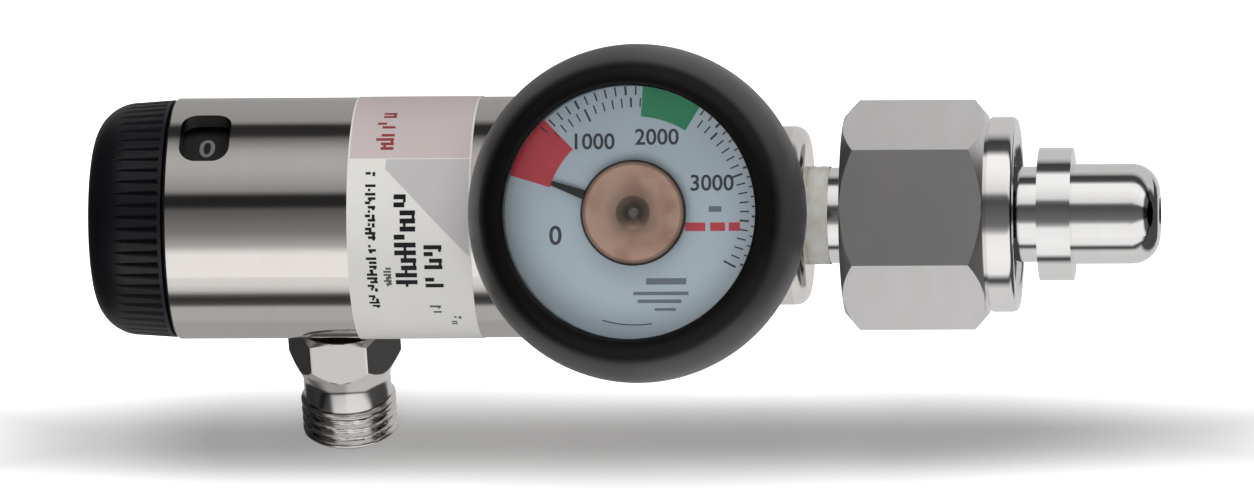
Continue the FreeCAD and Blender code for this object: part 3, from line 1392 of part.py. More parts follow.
def gauge_boot():
    body = piece("gauge_boot", GAUGE_AXIS, gauge_station)
    lip = size.case_front + size.lens_thickness + 2 * size.lens_gap
    pocket = size.case_radius + size.boot_fit
    bead = boot_opening + size.boot_lip
    # The flank is one arc that is level at the rim and runs smoothly into the front bead.
    along = size.boot_front - size.boot_nose - size.boot_rim
    across = boot_radius - bead
    nose = size.boot_nose
    flank = (along * along + across * across - nose * nose) / (2 * (across - nose))
    share = nose / (flank - nose)
    meet = (size.boot_front - nose + share * along, bead + share * (flank - across))
    rear = size.boot_rim - size.boot_back
    corners = [
        (size.boot_back, size.boot_hole),
        (size.case_back - size.boot_fit, size.boot_hole),
        (size.case_back - size.boot_fit, pocket),
        (lip, pocket),
        (lip, boot_opening),
        (size.boot_front - size.boot_lip, boot_opening),
        (size.boot_front, bead),
        meet,
        (size.boot_rim, boot_radius),
        (size.boot_back, boot_radius - rear),
    ]
    turned(body, "boot", outline(body, "section", corners, bends={
        5: size.boot_lip, 6: nose, 7: flank, 8: rear}))


def body_label():
    body = piece("body_label")
    start = label_end - size.label_length
    inner = size.body_radius
    outer = inner + size.label_thickness
    film = [(start, inner), (label_end, inner), (label_end, outer), (start, outer)]
    section = outline(body, "film_section", film)
    section.AttachmentOffset = FreeCAD.Placement(
        FreeCAD.Vector(), FreeCAD.Rotation(FreeCAD.Vector(1, 0, 0), size.gauge_tilt.value))
    section.setExpression("AttachmentOffset.Rotation.Angle", size.gauge_tilt.formula)
    turned(body, "film", section, angle=size.label_wrap)


for build in (
        regulator_body, inlet_nipple, inlet_filter, filter_clip, coupling_nut, nut_ring,
        seat_nozzle, piston, piston_stem_seal, piston_head_seal, seat_pad, piston_spring,
        flow_block, block_seal, shaft_seal, port_seal, outlet_fitting, outlet_seal,
        relief_poppet, relief_pad, relief_spring, relief_cap, selector_shaft, orifice_disc,
        disc_clip, number_drum, flow_knob, knob_cap, knob_screw, detent_ball, detent_spring,
        stop_pin, gauge_socket, gauge_case, bourdon_coil, gauge_dial, gauge_spindle,
        pointer_hub, gauge_pointer, gauge_lens, gauge_boot, body_label):
    build()

doc.recompute()
failed = [part.Name for part in doc.Objects if {"Invalid", "Error"} & set(part.State)]
if failed:
    raise RuntimeError(f"failed objects: {failed}")
for part in pieces:
    if part.Shape.isNull() or not part.Shape.isValid() or len(part.Shape.Solids) != 1:
        raise RuntimeError(f"{part.Label}: not one valid solid")

os.makedirs("parts", exist_ok=True)
for part in pieces:
    part.Shape.exportStep(f"parts/{part.Label}.step")
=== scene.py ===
import functools
import math

import bpy
import numpy as np
from bpy.props import FloatProperty, FloatVectorProperty, IntProperty, PointerProperty
from mathutils import Matrix, Vector


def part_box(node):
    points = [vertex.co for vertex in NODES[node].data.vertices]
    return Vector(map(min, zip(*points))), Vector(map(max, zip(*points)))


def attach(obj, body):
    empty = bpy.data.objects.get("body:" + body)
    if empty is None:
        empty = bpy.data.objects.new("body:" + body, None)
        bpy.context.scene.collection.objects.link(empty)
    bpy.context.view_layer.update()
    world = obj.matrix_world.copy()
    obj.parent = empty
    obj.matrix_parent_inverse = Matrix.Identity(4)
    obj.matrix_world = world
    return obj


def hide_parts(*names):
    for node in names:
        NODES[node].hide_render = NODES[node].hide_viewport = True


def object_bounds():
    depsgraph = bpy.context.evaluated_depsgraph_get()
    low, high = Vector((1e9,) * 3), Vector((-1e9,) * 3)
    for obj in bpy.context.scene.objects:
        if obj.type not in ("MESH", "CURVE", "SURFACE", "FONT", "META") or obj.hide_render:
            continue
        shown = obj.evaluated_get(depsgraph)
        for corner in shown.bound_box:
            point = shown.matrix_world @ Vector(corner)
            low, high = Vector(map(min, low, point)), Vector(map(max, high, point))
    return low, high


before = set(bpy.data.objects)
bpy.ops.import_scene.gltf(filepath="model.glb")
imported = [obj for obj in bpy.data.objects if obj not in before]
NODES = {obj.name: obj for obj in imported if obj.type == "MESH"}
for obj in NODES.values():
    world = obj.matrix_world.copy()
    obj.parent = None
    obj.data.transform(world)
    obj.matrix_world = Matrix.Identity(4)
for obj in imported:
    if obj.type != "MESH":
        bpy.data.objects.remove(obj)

bl_info = {
    "name": "Oxygen regulator looks",
    "version": (1, 0, 0),
    "blender": (4, 5, 0),
    "location": "3D View > Sidebar > Regulator",
    "description": "Dresses the oxygen regulator: plating, print, threads, dial and studio",
    "category": "Object",
}

MM = 0.001

# Places taken from the frame. Stations run along the main axis, leftwards from the origin.
NUT_LOW, NUT_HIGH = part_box("coupling_nut")
LABEL_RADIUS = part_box("body_label")[1].z
OUTLET_LOW, OUTLET_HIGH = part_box("outlet_fitting")
BOOT_LOW, BOOT_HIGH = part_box("gauge_boot")
DRUM_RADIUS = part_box("number_drum")[1].z
WHOLE_LOW, WHOLE_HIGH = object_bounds()
MIDDLE_X = (WHOLE_LOW.x + WHOLE_HIGH.x) / 2

GAUGE_TILT = math.radians(30)
GAUGE_X = (BOOT_LOW.x + BOOT_HIGH.x) / 2
OUTLET_X = (OUTLET_LOW.x + OUTLET_HIGH.x) / 2
GAUGE_OUT = Vector((0, -math.cos(GAUGE_TILT), math.sin(GAUGE_TILT)))
GAUGE_UP = Vector((0, math.sin(GAUGE_TILT), math.cos(GAUGE_TILT)))
PRINT_HEIGHT = 31.03 * MM  # of the dial's print, out from the main axis


# Settings. Each of these makes a property from its name, description and default, an angle's in
# degrees.

def colour_prop(label, about, value):
    return FloatVectorProperty(name=label, description=about, default=value, subtype="COLOR")


def length_prop(label, about, value):
    return FloatProperty(name=label, description=about, default=value, unit="LENGTH")


def angle_prop(label, about, value):
    return FloatProperty(
        name=label, description=about, default=math.radians(value), subtype="ANGLE")


def power_prop(label, about, value):
    return FloatProperty(name=label, description=about, default=value, unit="POWER")


def level_prop(label, about, value):
    return FloatProperty(name=label, description=about, default=value)


class StageSettings(bpy.types.PropertyGroup):
    """The studio: camera, floor, lamps and what the plating mirrors."""

    camera_side: angle_prop("Camera side", "Turn of the camera towards the inlet", 5.8)
    camera_lift: angle_prop("Camera lift", "Height of the camera above the horizontal", 29.3)
    camera_roll: angle_prop("Camera roll", "Roll of the picture about its middle", 0.28)
    camera_distance: length_prop("Camera distance", "From the camera to the main axis", 1.8)
    aim: length_prop("Aim", "Place on the main axis that the camera looks past", -0.06412)
    aim_drop: length_prop(
        "Aim drop", "How far below the main axis the picture's middle is", 0.00483)
    picture_width: length_prop(
        "Picture width", "Width of what the picture shows at the main axis", 0.17966)
    floor_gap: length_prop(
        "Floor gap", "From the lowest point of the regulator to the floor", 0.0004)
    overhead_power: power_prop("Overhead lamp", "Power of the soft lamp above", 4.6)
    front_power: power_prop("Front lamp", "Power of the soft lamp in front", 5.4)
    room_level: level_prop("Room light", "Level of the light from all round", 0.22)
    floor_glow: level_prop(
        "Floor whiteness", "White added to the floor where the camera sees it", 0.09)
    far_glow: level_prop("Far whiteness", "White that it gains away from the part", 0.9)


class FinishSettings(bpy.types.PropertyGroup):
    """Colours and roughness of the parts."""

    plating: colour_prop("Body plating", "Colour of the plated body", (0.85, 0.815, 0.79))
    nut_plating: colour_prop("Nut plating", "Colour of the plated nut", (0.85, 0.84, 0.84))
    nipple_plating: colour_prop("Nipple plating", "Colour of the plated nipple", (0.82, 0.82, 0.82))
    outlet_plating: colour_prop("Outlet plating", "Colour of the plated outlet", (0.70, 0.68, 0.67))
    plating_roughness: level_prop("Plating roughness", "Roughness of the plated parts", 0.065)
    knob_black: colour_prop("Knob", "Colour of the knob", (0.004, 0.004, 0.006))
    rubber_black: colour_prop("Boot", "Colour of the rubber boot", (0.048, 0.048, 0.050))
    hub_copper: colour_prop("Pointer disc", "Colour of the pointer's disc", (0.21, 0.135, 0.102))


class PrintSettings(bpy.types.PropertyGroup):
    """The dial's scale and the label's fields."""

    scale_zero: angle_prop("Scale zero", "Where the scale starts on the dial", 166)
    scale_step: angle_prop("Scale step", "Turn of the pointer for each thousand", 48)
    numeral_height: length_prop("Numeral height", "Height of the dial's numerals", 2.3 * MM)
    drum_numeral: length_prop("Drum numeral", "Height of the drum's numerals", 3.5 * MM)
    dial_colour: colour_prop("Dial", "Colour of the dial", (0.212, 0.250, 0.278))
    ink: colour_prop("Ink", "Colour of the dark print", (0.010, 0.011, 0.013))
    label_colour: colour_prop("Label", "Colour of the label's film", (0.745, 0.735, 0.70))


class ThreadSettings(bpy.types.PropertyGroup):
    """Screw threads and how finely round pieces are drawn."""

    columns: IntProperty(
        name="Columns", description="Points round a turned piece", default=288, min=48)
    nut_pitch: length_prop("Nut pitch", "Pitch of the nut's thread", 1.814 * MM)
    nut_depth: length_prop("Nut thread depth", "Depth of the nut's thread", 0.75 * MM)
    outlet_pitch: length_prop("Outlet pitch", "Pitch of the outlet's thread", 1.411 * MM)
    outlet_depth: length_prop("Outlet thread depth", "Depth of the outlet's thread", 0.72 * MM)
    pipe_pitch: length_prop("Pipe pitch", "Pitch of the taped pipe thread", 1.411 * MM)
    rows_per_turn: IntProperty(
        name="Rows per turn", description="Rows of points along one turn of a thread",
        default=18, min=8)


# Meshes

def mesh_object(name, points, faces):
    """A new object with a mesh, at the origin."""
    mesh = bpy.data.meshes.new(name)
    mesh.from_pydata(points, [], faces)
    made = bpy.data.objects.new(name, mesh)
    bpy.context.scene.collection.objects.link(made)
    return made


def mesh_piece(name, points, faces, body, material, smooth=True, sharp=25):
    """A new piece from arrays of points and faces; it rides on a body and is smooth except
    along edges sharper than the given angle in degrees."""
    piece = mesh_object(name, points, faces)
    mesh = piece.data
    mesh.validate()
    mesh.polygons.foreach_set("use_smooth", np.full(len(mesh.polygons), smooth))
    if smooth:
        mesh.set_sharp_from_angle(angle=math.radians(sharp))
    mesh.materials.append(material)
    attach(piece, body)
    return piece


def grid_faces(rows, columns, close_rows=False, close_columns=False, flip=False):
    """Quads between neighbouring points of a grid numbered row by row."""
    i = np.arange(rows if close_rows else rows - 1)[:, None]
    j = np.arange(columns if close_columns else columns - 1)[None, :]
    below, beside = (i + 1) % rows, (j + 1) % columns
    quads = np.stack(np.broadcast_arrays(
        i * columns + j, i * columns + beside, below * columns + beside, below * columns + j),
        axis=-1).reshape(-1, 4)
    return quads[:, ::-1] if flip else quads


def turn(columns):
    """Angles of the columns round a turned piece."""
    return np.linspace(0, 2 * np.pi, columns, endpoint=False)


def round_main_axis(station, radius, angle):
    """Points at a station left of the origin, a radius, and an angle above the horizontal on
    the gauge's side: x = -station, y = -radius cos(angle), z = radius sin(angle)."""
    return np.stack((-station, -radius * np.cos(angle), radius * np.sin(angle)), axis=-1)


def round_outlet_axis(drop, radius, angle):
    """Points below the main axis round the outlet: x = outlet + radius cos(angle),
    y = radius sin(angle), z = -drop."""
    return np.stack(
        (OUTLET_X + radius * np.cos(angle), radius * np.sin(angle), -drop), axis=-1)


def on_dial(across, up, out):
    """Points of the gauge: across to the inlet's side, up the dial and out along its axis."""
    across, up, out = np.broadcast_arrays(across, up, out)
    axis = np.array((GAUGE_X, 0, 0))
    return (axis + across[..., None] * np.array((1.0, 0, 0))
            + up[..., None] * np.array(GAUGE_UP) + out[..., None] * np.array(GAUGE_OUT))


def bent(corners, radius, steps):
    """A path of (station, radius) corners with each inner corner replaced by an arc: points
    at equal steps between the places where a circle of the given radius touches the runs."""
    path = [corners[0]]
    for before, corner, after in zip(corners, corners[1:], corners[2:]):
        here, back, on = (np.array(p, float) for p in (corner, before, after))
        back, on = back - here, on - here
        reach = min(radius, np.linalg.norm(back) / 2.2, np.linalg.norm(on) / 2.2)
        start = here + back / np.linalg.norm(back) * reach
        stop = here + on / np.linalg.norm(on) * reach
        for share in np.linspace(0, 1, steps):
            path.append(tuple(
                (1 - share) ** 2 * start + 2 * share * (1 - share) * here + share ** 2 * stop))
    path.append(corners[-1])
    return path


def hexagon_radius(angle, flats, face):
    """Distance from a hexagon's middle to its side at an angle: half its width across flats
    over the cosine of the angle to the nearest face."""
    sixth = np.pi / 3
    aside = (angle - face + sixth / 2) % sixth - sixth / 2
    return flats / 2 / np.cos(aside)


def thread_rows(start, end, crest, depth, pitch, angle, per_turn, inward=False):
    """Rows of a screw thread between two stations. Its depth below the crest is a triangle
    wave of station / pitch - angle / turn, flattened at crest and root, and it fades out over
    half a pitch at each end."""
    count = max(4, int(abs(end - start) / pitch * per_turn))
    rows = []
    for along in np.linspace(start, end, count):
        phase = (along / pitch - angle / (2 * np.pi)) % 1.0
        wave = np.clip(np.abs(phase * 2 - 1) * 1.5 - 0.25, 0, 1)
        fade = np.clip(min(abs(along - start), abs(end - along)) / (pitch * 0.5), 0, 1)
        cut = depth * wave * fade
        rows.append((along, crest + cut if inward else crest - cut))
    return rows


def loop_piece(name, rows, angle, place, body, material, flip=False, sharp=25):
    """A ring-shaped closed piece: rows of a closed section, carried round an axis to each of
    the angles. A row's station and radius, in millimetres, are each a number or one value
    for each angle."""
    station, radius = (
        np.array([np.broadcast_to(row[side], angle.shape) for row in rows]) * MM
        for side in (0, 1))
    points = place(station, radius, angle[None, :])
    faces = grid_faces(len(rows), len(angle), True, True, flip)
    return mesh_piece(name, points.reshape(-1, 3), faces, body, material, sharp=sharp)


# Materials

def socket_group(name, inputs, outputs):
    """A node group with named float inputs and named outputs."""
    group = bpy.data.node_groups.new(name, "ShaderNodeTree")
    group.interface.new_socket("Vector", in_out="INPUT", socket_type="NodeSocketVector")
    for label, default in inputs:
        socket = group.interface.new_socket(label, in_out="INPUT", socket_type="NodeSocketFloat")
        socket.default_value = default
    for label in outputs:
        group.interface.new_socket(label, in_out="OUTPUT", socket_type="NodeSocketFloat")
    start = group.nodes.new("NodeGroupInput")
    end = group.nodes.new("NodeGroupOutput")
    return group, start, end


def feed(tree, value, target):
    """Links an input to a socket, or sets it to a constant."""
    if isinstance(value, bpy.types.NodeSocket):
        tree.links.new(value, target)
    else:
        target.default_value = value


def fed(tree, made, **inputs):
    """A node after its inputs, named without their spaces, are linked or set."""
    for label, value in inputs.items():
        feed(tree, value, made.inputs[label.replace("_", " ")])
    return made


def node(tree, kind, **inputs):
    """A new node with its inputs."""
    return fed(tree, tree.nodes.new(kind), **inputs)


def math_node(tree, operation, *values):
    """Arithmetic on sockets or numbers."""
    made = tree.nodes.new("ShaderNodeMath")
    made.operation = operation
    for value, target in zip(values, made.inputs):
        feed(tree, value, target)
    return made.outputs[0]


def weighted(tree, *terms):
    """The sum of two terms, each a socket times its weight."""
    return math_node(tree, "ADD", *(math_node(tree, "MULTIPLY", *term) for term in terms))


def hypotenuse(tree, *sides):
    """The root of the sum of two squares."""
    squares = [math_node(tree, "POWER", side, 2.0) for side in sides]
    return math_node(tree, "SQRT", math_node(tree, "ADD", *squares))


def ranged(tree, value, source, target, smooth=True):
    """A value taken from one range to another, eased at both ends if smooth."""
    made = node(tree, "ShaderNodeMapRange", Value=value, From_Min=source[0],
                From_Max=source[1], To_Min=target[0], To_Max=target[1])
    if smooth:
        made.interpolation_type = "SMOOTHSTEP"
    return made.outputs["Result"]


def mixed(tree, factor, first, second, blend="MIX"):
    """A colour between two, each a socket or three numbers."""
    made = tree.nodes.new("ShaderNodeMix")
    made.data_type = "RGBA"
    made.blend_type = blend
    first, second = (value if isinstance(value, bpy.types.NodeSocket) else (*value, 1)
                     for value in (first, second))
    return fed(tree, made, Factor=factor, A=first, B=second).outputs["Result"]


def ramped(tree, value, stops):
    """A colour ramp through (position, colour) stops."""
    ramp = node(tree, "ShaderNodeValToRGB", Fac=value)
    elements = ramp.color_ramp.elements
    while len(elements) < len(stops):
        elements.new(0.5)
    for element, (position, shade) in zip(elements, stops):
        element.position = position
        element.color = (*shade, 1)
    return ramp.outputs["Color"]


def noise(tree, vector, scale, detail=2.0):
    """Noise at a scale."""
    made = node(tree, "ShaderNodeTexNoise", Vector=vector, Scale=scale, Detail=detail)
    return made.outputs["Fac"]


@functools.cache
def turning_marks():
    """Fine rings left by turning: noise stretched round the axis that Vector's X follows, with
    a slower ripple, as a height and as a mask that varies from ring to ring."""
    group, start, end = socket_group(
        "turning_marks", (("Rings", 9000.0), ("Ripple", 400.0)), ("Height", "Variation"))
    split = node(group, "ShaderNodeSeparateXYZ", Vector=start.outputs["Vector"])
    near, far = (math_node(group, "MULTIPLY", split.outputs[axis], 60.0) for axis in ("Y", "Z"))
    fine, slow = (
        node(group, "ShaderNodeCombineXYZ", Y=near, Z=far, X=math_node(
            group, "MULTIPLY", split.outputs["X"], start.outputs[scale])).outputs[0]
        for scale in ("Rings", "Ripple"))
    rings = noise(group, fine, 1.0)
    ripple = noise(group, slow, 1.0, 3.0)
    fed(group, end, Height=weighted(group, (rings, 0.7), (ripple, 0.3)), Variation=ripple)
    return group


@functools.cache
def handling_marks():
    """Cloudy smears and fine specks of use, as masks from 0 to 1."""
    group, start, end = socket_group("handling_marks", (("Size", 60.0),), ("Smears", "Specks"))
    vector = start.outputs["Vector"]
    clouds = noise(group, vector, start.outputs["Size"], 4.0)
    smears = ranged(group, clouds, (0.42, 0.72), (0.0, 1.0), smooth=False)
    fed(group, end, Smears=smears, Specks=noise(group, vector, 2600.0))
    return group


@functools.cache
def moulded_skin():
    """The even pebbled skin of moulded plastic or rubber, as a height and a slow mottle."""
    group, start, end = socket_group(
        "moulded_skin", (("Grain", 3000.0), ("Mottle", 90.0)), ("Height", "Mottle"))
    vector = start.outputs["Vector"]
    grain, mottle = (noise(group, vector, start.outputs[scale]) for scale in ("Grain", "Mottle"))
    fed(group, end, Height=grain, Mottle=mottle)
    return group


def blank(name, **constants):
    """A material with a Principled shader whose constants are set on its own sockets."""
    material = bpy.data.materials.new(name)
    material.use_nodes = True
    tree = material.node_tree
    shader = fed(tree, tree.nodes["Principled BSDF"], **constants)
    coordinates = tree.nodes.new("ShaderNodeTexCoord").outputs["Object"]
    return material, tree, shader, coordinates


def placed(tree, maker, vector, **values):
    """A shared group set into a material with its own input values."""
    made = tree.nodes.new("ShaderNodeGroup")
    made.node_tree = maker()
    return fed(tree, made, Vector=vector, **values)


def varied_colour(tree, shader, colour, mask, amount, tint):
    """Base colour between the colour and a tinted, darker one, by a mask."""
    other = tuple(channel * (1 - amount) * shade for channel, shade in zip(colour, tint))
    fed(tree, shader, Base_Color=mixed(tree, mask, colour, other))


def varied_roughness(tree, shader, mask, low, high):
    """Roughness between two values, by a mask."""
    fed(tree, shader, Roughness=ranged(tree, mask, (0.0, 1.0), (low, high), smooth=False))


def bumped(tree, shader, height, strength, distance):
    """Normals that follow a height."""
    bump = node(tree, "ShaderNodeBump", Height=height, Strength=strength, Distance=distance)
    fed(tree, shader, Normal=bump.outputs["Normal"])


def turned_metal(name, colour, roughness, turn_by=(0, 0, 0), rings=9000.0):
    """Turned metal: rings round the piece's axis, a little tone and smears in the gloss."""
    material, tree, shader, coordinates = blank(name, Metallic=1.0)
    turned = node(tree, "ShaderNodeMapping", Vector=coordinates, Rotation=turn_by)
    marks = placed(tree, turning_marks, turned.outputs["Vector"], Rings=rings)
    smears = placed(tree, handling_marks, coordinates)
    varied_colour(tree, shader, colour, marks.outputs["Variation"], 0.05, (1, 0.98, 0.96))
    mask = weighted(tree, (marks.outputs["Variation"], 0.6), (smears.outputs["Smears"], 0.4))
    varied_roughness(tree, shader, mask, roughness, roughness + 0.06)
    bumped(tree, shader, marks.outputs["Height"], 0.06, 0.00002)
    return material


def nut_finish(colour, roughness, collar):
    """Polished plating on the turned surfaces, and a satin one on the hexagon's flats, which
    lie further from the axis than the collar."""
    material = turned_metal("nut_plating", colour, roughness)
    tree = material.node_tree
    shader = tree.nodes["Principled BSDF"]
    polished = shader.inputs["Roughness"].links[0].from_socket
    place = tree.nodes.new("ShaderNodeTexCoord").outputs["Object"]
    split = node(tree, "ShaderNodeSeparateXYZ", Vector=place)
    radius = hypotenuse(tree, split.outputs["Y"], split.outputs["Z"])
    satin = 0.24
    flat = math_node(tree, "GREATER_THAN", radius, collar)
    rougher = math_node(tree, "MULTIPLY", flat, satin)
    fed(tree, shader, Roughness=math_node(tree, "ADD", polished, rougher))
    return material


def moulded(name, colour, roughness, spread=0.1, grain=3000.0, strength=0.15, amount=0.25,
            specular=0.5, mottle=90.0, depth=0.00006, tint=(1.0, 1.0, 1.0)):
    """Moulded plastic, rubber or paint: a pebbled skin with a slow mottle."""
    material, tree, shader, coordinates = blank(
        name, Metallic=0.0, Specular_IOR_Level=specular)
    skin = placed(tree, moulded_skin, coordinates, Grain=grain, Mottle=mottle)
    varied_colour(tree, shader, colour, skin.outputs["Mottle"], amount, tint)
    varied_roughness(tree, shader, skin.outputs["Mottle"], roughness, roughness + spread)
    bumped(tree, shader, skin.outputs["Height"], strength, depth)
    return material


def ink(name, colour):
    """A thin layer of print, slightly uneven."""
    return moulded(name, colour, 0.45, 0.15, grain=5000.0, strength=0.04, amount=0.12,
                   specular=0.2)


def dressed(node_name, material):
    """A node of the frame shown in a new material."""
    target = NODES[node_name]
    target.data.materials.clear()
    target.data.materials.append(material)


# Stage

# Brightness of what the plating mirrors by its height in degrees: 0 lies in front, 90 above and
# 180 behind, at the knob's end and at the inlet's.
SKY_LEFT = (
    (-180, 0.37), (-120, 0.37), (-90, 0.39), (-83, 0.46), (-65, 0.45), (-61, 0.08),
    (-54, 0.03), (-49, 0.09), (-44, 0.53), (-39, 0.71), (-30, 0.85), (-26, 0.94), (-5, 0.93),
    (-1, 0.68), (3, 0.43), (10, 0.31), (15, 0.22), (37, 0.11), (40, 0.02), (50, 0.015),
    (55, 0.29), (64, 0.38), (74, 0.45), (85, 0.47), (95, 0.41), (103, 0.30), (110, 0.15),
    (114, 0.03), (126, 0.02), (135, 0.33), (160, 0.35))
SKY_RIGHT = (
    (-180, 0.62), (-120, 0.68), (-68, 0.74), (-61, 0.40), (-58, 0.09), (-53, 0.07),
    (-48, 0.6), (-45, 0.98), (-20, 1.05), (4, 1.0), (10, 0.38), (16, 0.17), (38, 0.10),
    (44, 0.08), (50, 0.15), (56, 0.80), (70, 0.97), (86, 1.08), (101, 1.08), (106, 0.4),
    (110, 0.08), (125, 0.05), (133, 0.44), (142, 0.64), (165, 0.62))

SIDE_BLEND = (-0.145, -0.06)  # stretch of x over which the left tones give way to the right
SHORT_FADE = (0.32, 0.45)  # distance along x at which the boards end in the dark
LONG_FADE = (0.70, 1.00)  # the same towards the inlet, for boards that aren't below
LONG_FROM = 0.34  # place in the turn, from behind by way of below, where those begin


def studio_boards():
    """What the plating mirrors: pale boards and dark gaps round the main axis. A cylinder,
    x along the axis and (y, z) = radius (cos, sin) of the column's angle."""
    columns = 96
    radius = 0.55
    along, angle = np.meshgrid((-1.8, 1.7), turn(columns), indexing="ij")
    points = np.stack((along, radius * np.cos(angle), radius * np.sin(angle)), axis=-1)
    boards = mesh_object(
        "studio_boards", points.reshape(-1, 3), grid_faces(2, columns, False, True))
    for switch in ("visible_camera", "visible_diffuse", "visible_transmission",
                   "visible_volume_scatter", "visible_shadow"):
        setattr(boards, switch, False)
    material = bpy.data.materials.new("board_tones")
    material.use_nodes = True
    material.cycles.emission_sampling = "NONE"
    tree = material.node_tree
    tree.nodes.clear()
    place = tree.nodes.new("ShaderNodeTexCoord").outputs["Object"]
    split = node(tree, "ShaderNodeSeparateXYZ", Vector=place)
    front = math_node(tree, "MULTIPLY", split.outputs["Y"], -1.0)
    height = math_node(tree, "ARCTAN2", split.outputs["Z"], front)
    share = math_node(tree, "ADD", math_node(tree, "DIVIDE", height, 2 * math.pi), 0.5)
    tones = [ramped(tree, share, [((mark + 180) / 360, (tone,) * 3) for mark, tone in stops])
             for stops in (SKY_LEFT, SKY_RIGHT)]
    side = ranged(tree, split.outputs["X"], SIDE_BLEND, (0.0, 1.0))
    tone = mixed(tree, side, *tones)

    aside = math_node(tree, "ABSOLUTE", math_node(
        tree, "SUBTRACT", split.outputs["X"], SIDE_BLEND[1]))
    short, long = (ranged(tree, aside, fade, (1.0, 0.1)) for fade in (SHORT_FADE, LONG_FADE))
    inlet_side = math_node(tree, "GREATER_THAN", split.outputs["X"], 0.0)
    above = math_node(tree, "GREATER_THAN", share, LONG_FROM)
    longer = math_node(tree, "MULTIPLY", long, math_node(tree, "MULTIPLY", inlet_side, above))
    glow = node(tree, "ShaderNodeEmission", Color=tone,
                Strength=math_node(tree, "MAXIMUM", short, longer))
    node(tree, "ShaderNodeOutputMaterial", Surface=glow.outputs[0])
    boards.data.materials.append(material)


def studio_floor(look):
    """A plain pale floor. The camera sees it gain white away from the part."""
    floor_level = WHOLE_LOW.z - look.floor_gap
    reach = 4.0
    corners = ((-reach, -reach), (reach, -reach), (reach, reach), (-reach, reach))
    floor = mesh_object(
        "studio_floor", [(*corner, floor_level) for corner in corners], [(0, 1, 2, 3)])
    floor.visible_glossy = False
    material, tree, paper, place = blank(
        "floor_paper", Roughness=0.9, Specular_IOR_Level=0.0,
        Base_Color=(0.88, 0.88, 0.88, 1), Emission_Color=(1, 1, 1, 1))
    split = node(tree, "ShaderNodeSeparateXYZ", Vector=place)
    shadow_middle = -2.6 * MM
    across = math_node(tree, "SUBTRACT", split.outputs["Y"], shadow_middle)
    along = math_node(tree, "SUBTRACT", split.outputs["X"], MIDDLE_X)
    rises_across = (1 * MM, 23 * MM)
    rises_along = (78 * MM, 135 * MM)
    glows = (look.floor_glow, look.floor_glow + look.far_glow)
    rises = [ranged(tree, math_node(tree, "ABSOLUTE", distance), stretch, glows)
             for distance, stretch in ((across, rises_across), (along, rises_along))]
    path = tree.nodes.new("ShaderNodeLightPath")
    glow = math_node(tree, "MULTIPLY", path.outputs["Is Camera Ray"],
                     math_node(tree, "MAXIMUM", *rises))
    fed(tree, paper, Emission_Strength=glow)
    floor.data.materials.append(material)


def studio_world(look):
    """White behind everything, and a level light for surfaces that scatter it."""
    world = bpy.data.worlds.new("studio_world")
    bpy.context.scene.world = world
    world.use_nodes = True
    tree = world.node_tree
    path = tree.nodes.new("ShaderNodeLightPath")
    seen = math_node(tree, "MAXIMUM", path.outputs["Is Camera Ray"],
                     path.outputs["Is Transmission Ray"])
    lit = math_node(tree, "MULTIPLY", path.outputs["Is Diffuse Ray"], look.room_level)
    fed(tree, tree.nodes["Background"], Color=(1, 1, 1, 1),
        Strength=math_node(tree, "MAXIMUM", seen, lit))


def studio_camera(look):
    """A long lens that looks down past the main axis, a little from the inlet's side."""
    out = Vector((0, -math.cos(look.camera_lift), math.sin(look.camera_lift)))
    up = Vector((0, math.sin(look.camera_lift), math.cos(look.camera_lift)))
    inlet = Vector((1, 0, 0))
    back = out * math.cos(look.camera_side) + inlet * math.sin(look.camera_side)
    right = inlet * math.cos(look.camera_side) - out * math.sin(look.camera_side)
    tilted_right = right * math.cos(look.camera_roll) - up * math.sin(look.camera_roll)
    tilted_up = up * math.cos(look.camera_roll) + right * math.sin(look.camera_roll)
    aim = Vector((look.aim, 0, 0)) - up * look.aim_drop
    data = bpy.data.cameras.new("camera")
    data.sensor_width = 36.0
    data.lens = data.sensor_width * look.camera_distance / look.picture_width
    data.clip_start = 0.05
    data.clip_end = 100.0
    camera = bpy.data.objects.new("camera", data)
    camera.matrix_world = Matrix.Translation(aim + back * look.camera_distance) @ Matrix(
        (tilted_right, tilted_up, back)).transposed().to_4x4()
    bpy.context.scene.collection.objects.link(camera)
    bpy.context.scene.camera = camera


def soft_lamp(name, y, z, long, wide, energy):
    """A lamp, its length along the main axis, that lights the part but isn't mirrored."""
    data = bpy.data.lights.new(name, "AREA")
    data.shape = "RECTANGLE"
    data.size = long
    data.size_y = wide
    data.energy = energy
    lamp = bpy.data.objects.new(name, data)
    lamp.location = (MIDDLE_X, y, z)
    lamp.rotation_mode = "QUATERNION"
    lamp.rotation_quaternion = Vector((0, -y, -z)).to_track_quat("-Z", "Y")
    lamp.visible_glossy = False
    lamp.visible_camera = False
    bpy.context.scene.collection.objects.link(lamp)


class REGULATOR_OT_stage(bpy.types.Operator):
    """Sets the floor, the lamps, the boards that the plating mirrors, the world and the camera"""

    bl_idname = "regulator.stage"
    bl_label = "Stage"

    def execute(self, context):
        look = context.scene.regulator_stage
        studio_floor(look)
        studio_boards()
        soft_lamp("overhead_lamp", 0, 0.75, 1.1, 0.35, look.overhead_power)
        soft_lamp("front_lamp", -0.9, 0.08, 0.7, 0.7, look.front_power)
        studio_world(look)
        context.scene.view_settings.view_transform = "Standard"
        studio_camera(look)
        return {"FINISHED"}


# Pieces

